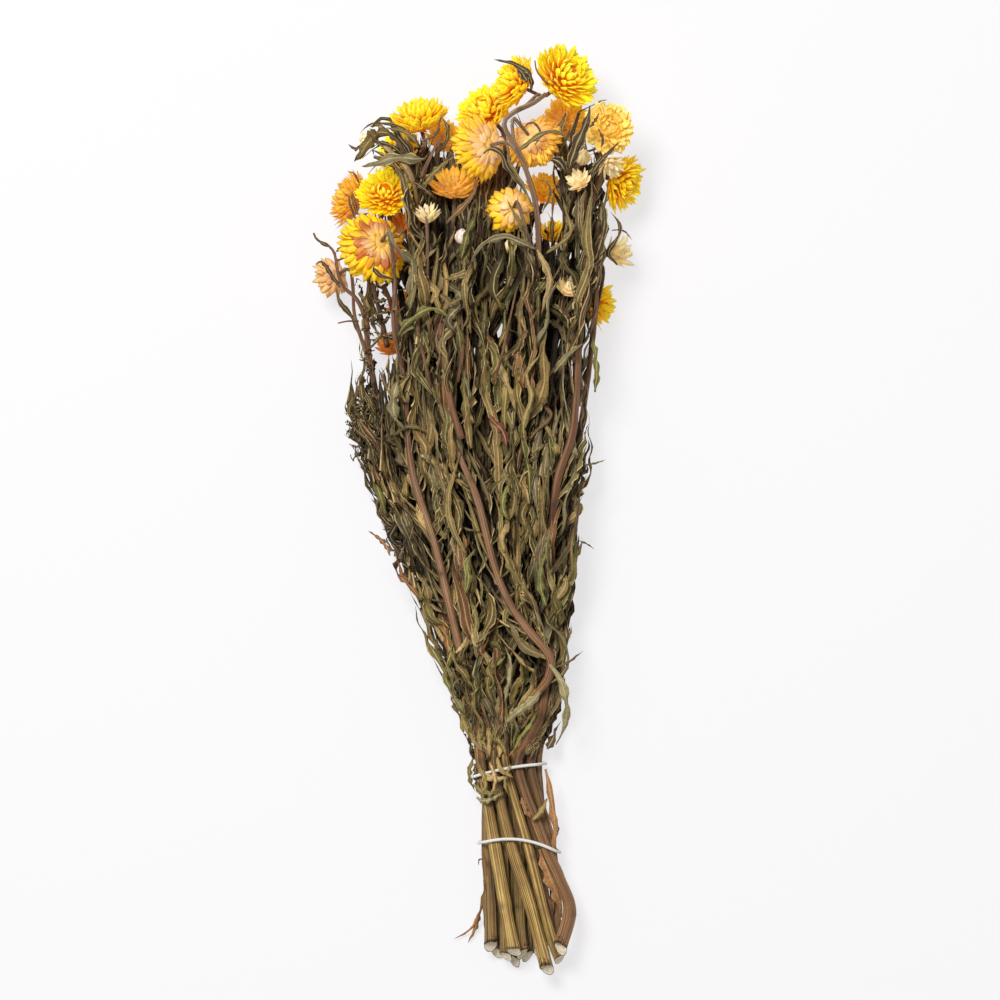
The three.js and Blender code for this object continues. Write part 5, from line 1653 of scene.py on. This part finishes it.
# %% How the bracts of each form run
# For bracts from the lowest (0) to the innermost (1): radius and height of the foot, the
# bend and the tip, and half the width, all as shares of the head's radius.
BRACT_ROWS = {
    "open": (200, (
        (0.0, 0.15, -0.49, 0.30, -0.46, 0.44, -0.38, 0.12),
        (0.15, 0.24, -0.44, 0.52, -0.44, 0.76, -0.27, 0.12),
        (0.35, 0.30, -0.34, 0.72, -0.36, 1.00, -0.04, 0.11),
        (0.6, 0.34, -0.20, 0.80, -0.16, 0.96, 0.14, 0.105),
        (0.8, 0.30, -0.04, 0.68, 0.14, 0.72, 0.38, 0.10),
        (0.92, 0.2, 0.04, 0.5, 0.26, 0.38, 0.46, 0.09),
        (1.0, 0.12, 0.06, 0.32, 0.34, 0.08, 0.44, 0.08))),
    "small": (120, (
        (0.0, 0.15, -0.49, 0.32, -0.46, 0.46, -0.36, 0.14),
        (0.2, 0.26, -0.42, 0.60, -0.42, 0.84, -0.22, 0.14),
        (0.45, 0.32, -0.28, 0.80, -0.26, 1.00, 0.06, 0.13),
        (0.75, 0.30, -0.10, 0.72, 0.10, 0.78, 0.36, 0.12),
        (1.0, 0.12, 0.02, 0.36, 0.34, 0.10, 0.46, 0.10))),
    "loose": (64, (
        (0.0, 0.15, -0.49, 0.36, -0.48, 0.56, -0.34, 0.15),
        (0.25, 0.28, -0.42, 0.66, -0.44, 0.98, -0.10, 0.15),
        (0.6, 0.30, -0.24, 0.78, -0.14, 1.02, 0.26, 0.14),
        (1.0, 0.12, 0.0, 0.40, 0.36, 0.30, 0.56, 0.12))),
    "half": (54, (
        (0.0, 0.15, -0.78, 0.40, -0.70, 0.52, -0.42, 0.2),
        (0.3, 0.26, -0.66, 0.74, -0.54, 0.84, -0.06, 0.2),
        (0.6, 0.30, -0.46, 0.86, -0.20, 0.98, 0.40, 0.18),
        (1.0, 0.16, -0.2, 0.6, 0.30, 0.36, 0.7, 0.15))),
    "star": (26, (
        (0.0, 0.15, -0.78, 0.46, -0.66, 0.66, -0.36, 0.24),
        (0.35, 0.26, -0.62, 0.80, -0.40, 1.12, 0.08, 0.27),
        (0.7, 0.24, -0.40, 0.66, 0.0, 0.98, 0.48, 0.25),
        (1.0, 0.12, -0.2, 0.36, 0.34, 0.26, 0.66, 0.18))),
    "bud": (26, (
        (0.0, 0.15, -1.08, 0.66, -0.9, 0.7, -0.3, 0.34),
        (0.4, 0.30, -0.94, 1.10, -0.5, 0.72, 0.4, 0.34),
        (1.0, 0.2, -0.5, 0.84, 0.2, 0.14, 0.96, 0.26))),
}
# heads whose bracts stand further apart, or open as a pointed star
OTHER_ROWS = {
    "bloom_06": "small", "bloom_24": "star",
    **dict.fromkeys(("bloom_15", "bloom_16", "bloom_17", "bloom_19", "bloom_20", "bloom_21",
                     "bloom_22"), "loose"),
    **dict.fromkeys(("bud_01", "bud_02", "bud_03", "bud_06"), "star"),
}
GOLDEN_ANGLE = math.pi * (3 - math.sqrt(5))

# Colours of the tips from the lowest bracts to the innermost, of the feet, and of the rim,
# with how much of the rim's colour a bract shows. The feet are a deeper orange: partly the
# bracts' own colour, partly painted shade of the depths between them.
BRACT_COLOURS = {
    "lemon": ((240, 184, 80), (252, 184, 10), (255, 222, 4), (255, 232, 40), (230, 126, 2),
              (255, 238, 90), 0.35),
    "golden": ((236, 178, 84), (248, 174, 16), (255, 212, 10), (255, 222, 40), (226, 122, 8),
               (255, 222, 60), 0.35),
    "amber": ((240, 204, 152), (234, 166, 90), (250, 190, 56), (252, 198, 70), (246, 202, 124),
              (206, 112, 44), 0.5),
    "orange": ((234, 170, 100), (242, 166, 50), (253, 196, 40), (254, 210, 70), (246, 176, 66),
               (224, 134, 40), 0.35),
    "rust": ((208, 140, 84), (206, 108, 40), (234, 136, 40), (240, 156, 56), (222, 150, 82),
             (150, 66, 26), 0.6),
    "rust_gold": ((222, 160, 98), (226, 140, 58), (242, 172, 48), (248, 190, 58), (234, 162, 80),
                  (186, 98, 38), 0.5),
    "back_rust": ((236, 196, 142), (186, 88, 38), (254, 204, 8), (255, 212, 22), (242, 188, 88),
                  (204, 104, 34), 0.3),
    "cream_gold": ((238, 206, 162), (238, 178, 100), (253, 200, 26), (254, 208, 40),
                   (246, 196, 108), (238, 160, 54), 0.4),
    "tan": ((232, 198, 160), (228, 172, 122), (234, 182, 118), (238, 190, 128), (234, 192, 146),
            (180, 102, 52), 0.5),
    "cream": ((220, 186, 134), (242, 208, 148), (253, 232, 176), (253, 238, 190), (248, 220, 166),
              (222, 164, 98), 0.35),
    "pearl": ((206, 170, 132), (240, 214, 188), (252, 236, 224), (252, 240, 230), (244, 224, 200),
              (226, 170, 150), 0.4),
    # its innermost tips are orange: its own colour, deepened by painted shade of the closed centre
    "rose": ((242, 200, 130), (253, 222, 140), (255, 242, 166), (252, 196, 64), (255, 222, 120),
             (252, 200, 100), 0.4),
}
COLOUR_STOPS = (0.0, 0.16, 0.32, 1.0)
print(len(BRACT_ROWS), "forms and", len(BRACT_COLOURS), "palettes")

# %% Bracts of one head
BRACT_THICKNESS = 0.11
BLUNT, STAR_POINT = 6, 2.2  # how late a bract narrows towards its tip
FOOT_BREADTH, BREADTH_GAINS = 0.6, 0.8
CUP = 0.34
# how much bracts differ in these, one from the next
REACH_VARIES, BEND_VARIES, TURN_VARIES, BREADTH_VARIES = 0.06, 0.03, 0.08, 0.1
CUP_VARIES, LEAN_VARIES, RIM_VARIES, SHADE_VARIES = 0.12, 0.2, 0.4, 0.06
# where a colour begins along the bract, and over what share of it it comes in
TIP_COLOUR, RIM_COLOUR = (0.1, 0.5), (0.72, 0.4)
RIM_ROUNDS = 0.25  # the rim's colour begins this much sooner at the bract's sides


def bract_places(name, luck):
    """Places and attributes of all the bracts of a head at once."""
    at, aim, width, form, colours, breadth = HEADS[name]
    radius = width / 2
    rows = OTHER_ROWS.get(name, form)
    count, table = BRACT_ROWS[rows]
    table = np.array(table)
    q = (np.arange(count) + 0.5) / count
    foot_r, foot_h, bend_r, bend_h, tip_r, tip_h, half = (
        np.interp(q, table[:, 0], table[:, k])[:, None] for k in range(1, 8))
    jitter = lambda size: luck.normal(0, size, (count, 1))
    tip_r = tip_r * (1 + jitter(REACH_VARIES))
    tip_h = tip_h + jitter(REACH_VARIES)
    bend_h = bend_h + jitter(BEND_VARIES)
    turn = np.arange(count)[:, None] * GOLDEN_ANGLE + jitter(TURN_VARIES)
    s = np.clip(BRACT_PATTERN["share"], 0, 0.99)[None, :]
    u, v = np.cos(BRACT_PATTERN["angle"]), np.sin(BRACT_PATTERN["angle"])
    # a bract follows a curve of three points: its foot, its bend and its tip
    r = (1 - s) ** 2 * foot_r + 2 * s * (1 - s) * bend_r + s**2 * tip_r
    h = (1 - s) ** 2 * foot_h + 2 * s * (1 - s) * bend_h + s**2 * tip_h
    # which way the curve runs, so that cup and thickness can be set square to it
    run = (1 - s) * (bend_r - foot_r) + s * (tip_r - bend_r)
    climb = (1 - s) * (bend_h - foot_h) + s * (tip_h - bend_h)
    length = np.hypot(run, climb)
    run, climb = run / length, climb / length
    pointed = STAR_POINT if rows == "star" else BLUNT
    outline = np.minimum(1, FOOT_BREADTH + BREADTH_GAINS * s) * (1 - s**pointed) ** 0.6
    wide = half * breadth * (1 + jitter(BREADTH_VARIES)) * outline
    # cupped across, and tilted a little
    cup = wide * ((CUP + jitter(CUP_VARIES)) * u * u + jitter(LEAN_VARIES) * u)
    off = cup + (BRACT_THICKNESS / radius) * v * (1 - 0.5 * s)
    r, h = r - climb * off, h + run * off
    aim, side, lift = head_axes(aim)
    outward = np.cos(turn)[..., None] * side + np.sin(turn)[..., None] * lift
    round_it = np.cross(aim, outward)
    places = outward * r[..., None] + aim * h[..., None] + round_it * (wide * u)[..., None]
    places = np.array(at) + places * radius
    *palette, rim_share = BRACT_COLOURS[colours]
    palette = np.array([srgb(*c) for c in palette])
    tips = np.stack([np.interp(q, COLOUR_STOPS, palette[:4, k]) for k in range(3)], axis=1)
    smooth = lambda x: (np.clip(x, 0, 1) ** 2 * (3 - 2 * np.clip(x, 0, 1)))[..., None]
    # the foot's colour, deeper partly as painted shade of the depths between the bracts, fades
    # into the tip's, and the rim has its own
    fade = smooth((s - TIP_COLOUR[0]) / TIP_COLOUR[1])
    colour = palette[4] * (1 - fade) + tips[:, None] * fade
    rim = smooth((s + RIM_ROUNDS * u * u - RIM_COLOUR[0]) / RIM_COLOUR[1])
    rim = rim * (rim_share * (1 + jitter(RIM_VARIES)).clip(0, 1.5))[..., None]
    colour = colour * (1 - rim) + palette[5] * rim
    colour = colour * (1 + jitter(SHADE_VARIES))[..., None]
    hue = np.concatenate([colour.clip(0, 1), np.ones((*colour.shape[:2], 1))], axis=2)
    ones = np.ones((count, len(u)))
    blade = np.stack([ones * (u / 2 + 0.5), ones * s, ones * 0.5,
                      ones * luck.uniform(0, 1, (count, 1))], axis=2)
    return [(BRACT_PATTERN, places[i], {"blade": blade[i], "hue": hue[i]}) for i in range(count)]


# %% Heart of one head
HEART_PATTERN = tube_pattern("heart_pattern", 14, 6)
HEART_TOPS = {"open": 0.26, "small": 0.28, "half": 0.4, "bud": 0.6}
HEART_NECK, HEART_BULGE = 0.1, 0.26  # as shares of the head's radius
# the heart is darker than the bracts' feet: painted shade of its place deep between them
HEART_SHADE = 0.8


def heart_copy(name):
    """The firm middle that the bracts are set on, closed above by the florets."""
    at, aim, width, form, colours, _ = HEADS[name]
    radius = width / 2
    seat, top = SEATS[form], HEART_TOPS[form]
    s, angle = HEART_PATTERN["share"], HEART_PATTERN["angle"]
    # thick in the middle, slim at both ends
    bulge = HEART_NECK + HEART_BULGE * np.sin(np.pi * np.clip(s, 0.02, 0.96)) ** 0.6
    aim, side, lift = head_axes(aim)
    arm = np.cos(angle)[:, None] * side + np.sin(angle)[:, None] * lift
    height = -seat + (seat + top) * s
    places = np.array(at) + radius * (arm * (bulge * HEART_PATTERN["reach"])[:, None]
                                      + aim * height[:, None])
    # painted shade: the heart, seen only between the bracts, is darkened
    colour = srgb(*BRACT_COLOURS[colours][4]) * HEART_SHADE
    blade = np.stack([np.cos(angle) / 2 + 0.5, s, s * 0 + 0.5, s * 0 + 0.3], axis=1)
    hue = np.tile([*colour, 1], (len(s), 1))
    return HEART_PATTERN, places, {"blade": blade, "hue": hue}


# %% Make the heads
RECORD_SLOT = {row["node"]: row["material_slot"] for row in frame["record"]["subparts"]}
luck = np.random.default_rng(31)
for name in HEADS:
    make_piece(f"{name}_bracts", [heart_copy(name), *bract_places(name, luck)], [bract_finish],
               RECORD_SLOT[name], name)
print(len(HEADS), "heads")

# %% [markdown]
# ## Ties
#
# Two thin elastics hold the neck. Each is a closed loop that is pulled tight over the
# outer stems, so its path is the outline round the stems' sections, and its own section is
# round. It is spun as a ring, and the ring is then laid on that path.

# %% Elastic finish
ELASTIC_DIP, ELASTIC_RISE = srgb(226, 222, 214), srgb(246, 244, 240)
TWILL_ALONG, TWILL_AROUND = 60.0, 3.0
TWILL_RELIEF = 0.0002

elastic_finish, tree, shader = new_finish("elastic", 0.75)
around, along = read_attribute(tree, "band")[:2]
twill = add(tree, "ShaderNodeTexWave", wave_type="BANDS", bands_direction="DIAGONAL")
twill.inputs["Scale"].default_value = 1.0
spot = add(tree, "ShaderNodeCombineXYZ")
wire(tree, times(tree, along, TWILL_ALONG), spot.inputs[0])
wire(tree, times(tree, around, TWILL_AROUND), spot.inputs[1])
wire(tree, spot.outputs[0], twill.inputs["Vector"])
body = blend_colours(tree, twill.outputs["Fac"], ELASTIC_DIP, ELASTIC_RISE)
wire(tree, body, shader.inputs["Base Color"])
rough_up(tree, shader, twill.outputs["Fac"], 0.5, TWILL_RELIEF)
print("elastic finish,", len(tree.nodes), "nodes")

# %% Lay the ties
TIES = {"tie_upper": (-137, 3.5, 1.5), "tie_lower": (-177, -2.5, 5)}  # height, climb, bow
TIE_RADIUS = 0.85
TIE_CLEAR, TIE_LOOSE = 0.6, 1.03
TIE_CORNERS = 24
TIE_STEPS = 240
TIE_SIDES, SPIN_RADIUS = 10, 0.2


def hull(points):
    """The outline round some points, anticlockwise."""
    points = sorted(map(tuple, points))
    turn = lambda o, a, b: (a[0] - o[0]) * (b[1] - o[1]) - (a[1] - o[1]) * (b[0] - o[0])

    def chain(these):
        kept = []
        for p in these:
            while len(kept) > 1 and turn(kept[-2], kept[-1], p) <= 0:
                kept.pop()
            kept.append(p)
        return kept[:-1]

    return np.array(chain(points) + chain(points[::-1]))


def tie_path(height, climb, bow):
    reach = abs(climb) + bow / 2 + TIE_RADIUS
    corners = 2 * math.pi * np.arange(TIE_CORNERS)[:, None] / TIE_CORNERS
    points = []
    for trunk in TRUNKS:
        stations = trunk["route"]["stations"]
        for y in (height - reach, height, height + reach):
            index = int(np.argmax(stations[:, 1] >= y))
            clear = trunk["radius"](index / (len(stations) - 1)) + TIE_RADIUS + TIE_CLEAR
            arm = np.hstack([np.cos(corners), np.sin(corners)]) * clear * TIE_LOOSE
            points.extend(stations[index][[0, 2]] + arm)
    ring = hull(points)
    ring = np.vstack([ring, ring[:1]])
    run = np.concatenate([[0], np.cumsum(np.linalg.norm(np.diff(ring, axis=0), axis=1))])
    at = np.arange(TIE_STEPS) / TIE_STEPS * run[-1]
    x, z = (np.interp(at, run, ring[:, k]) for k in range(2))
    across = (2 * x - x.min() - x.max()) / (x.max() - x.min())
    # it climbs across the neck, and bows
    y = height + climb * across + bow * (0.5 - across**2)
    return np.stack([x, y, z], axis=1), run[-1]


def make_tie(name, height, climb, bow):
    path, length = tie_path(height, climb, bow)
    bm = bmesh.new()
    bmesh.ops.create_circle(bm, segments=TIE_SIDES, radius=SPIN_RADIUS)
    upright = Matrix.Rotation(math.pi / 2, 3, "X")
    bmesh.ops.rotate(bm, verts=bm.verts[:], cent=(0, 0, 0), matrix=upright)
    bmesh.ops.translate(bm, verts=bm.verts[:], vec=(1, 0, 0))
    bmesh.ops.spin(bm, geom=bm.verts[:] + bm.edges[:], cent=(0, 0, 0), axis=(0, 0, 1),
                   angle=2 * math.pi, steps=TIE_STEPS, use_merge=True)
    along = unit(np.roll(path, -1, 0) - np.roll(path, 1, 0))
    lengthwise = unit(np.array([0, 1.0, 0]) - along * along[:, 1:2])
    outward = np.cross(along, lengthwise)
    band = []
    for vert in bm.verts:
        # where the vertex lies along the ring, and how far round its section
        step = math.atan2(vert.co.y, vert.co.x) / (2 * math.pi) % 1
        k = round(step * TIE_STEPS) % TIE_STEPS
        theta = math.atan2(vert.co.z, math.hypot(vert.co.x, vert.co.y) - 1)
        arm = outward[k] * math.cos(theta) + lengthwise[k] * math.sin(theta)
        vert.co = (path[k] + arm * TIE_RADIUS) * MM
        band.append((theta / (2 * math.pi) + 0.5, k / TIE_STEPS * length / 10, 0, 1))
    bmesh.ops.recalc_face_normals(bm, faces=bm.faces[:])
    mesh = bpy.data.meshes.new(name)
    bm.to_mesh(mesh)
    bm.free()
    layer = mesh.attributes.new("band", "FLOAT_COLOR", "POINT")
    layer.data.foreach_set("color", np.array(band, np.float32).ravel())
    mesh.shade_smooth()
    mesh.materials.append(elastic_finish)
    piece = bpy.data.objects.new(name, mesh)
    bpy.context.scene.collection.objects.link(piece)
    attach(piece, "root")
    return piece


for name, spec in TIES.items():
    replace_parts(make_tie(f"elastic_{name[4:]}", *spec), name)
print("two elastics")

# %% Size
low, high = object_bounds()
{"cad": CAD_BOX, "visual": [list(low), list(high)]}
print("box", [round(x, 4) for x in (*low, *high)])
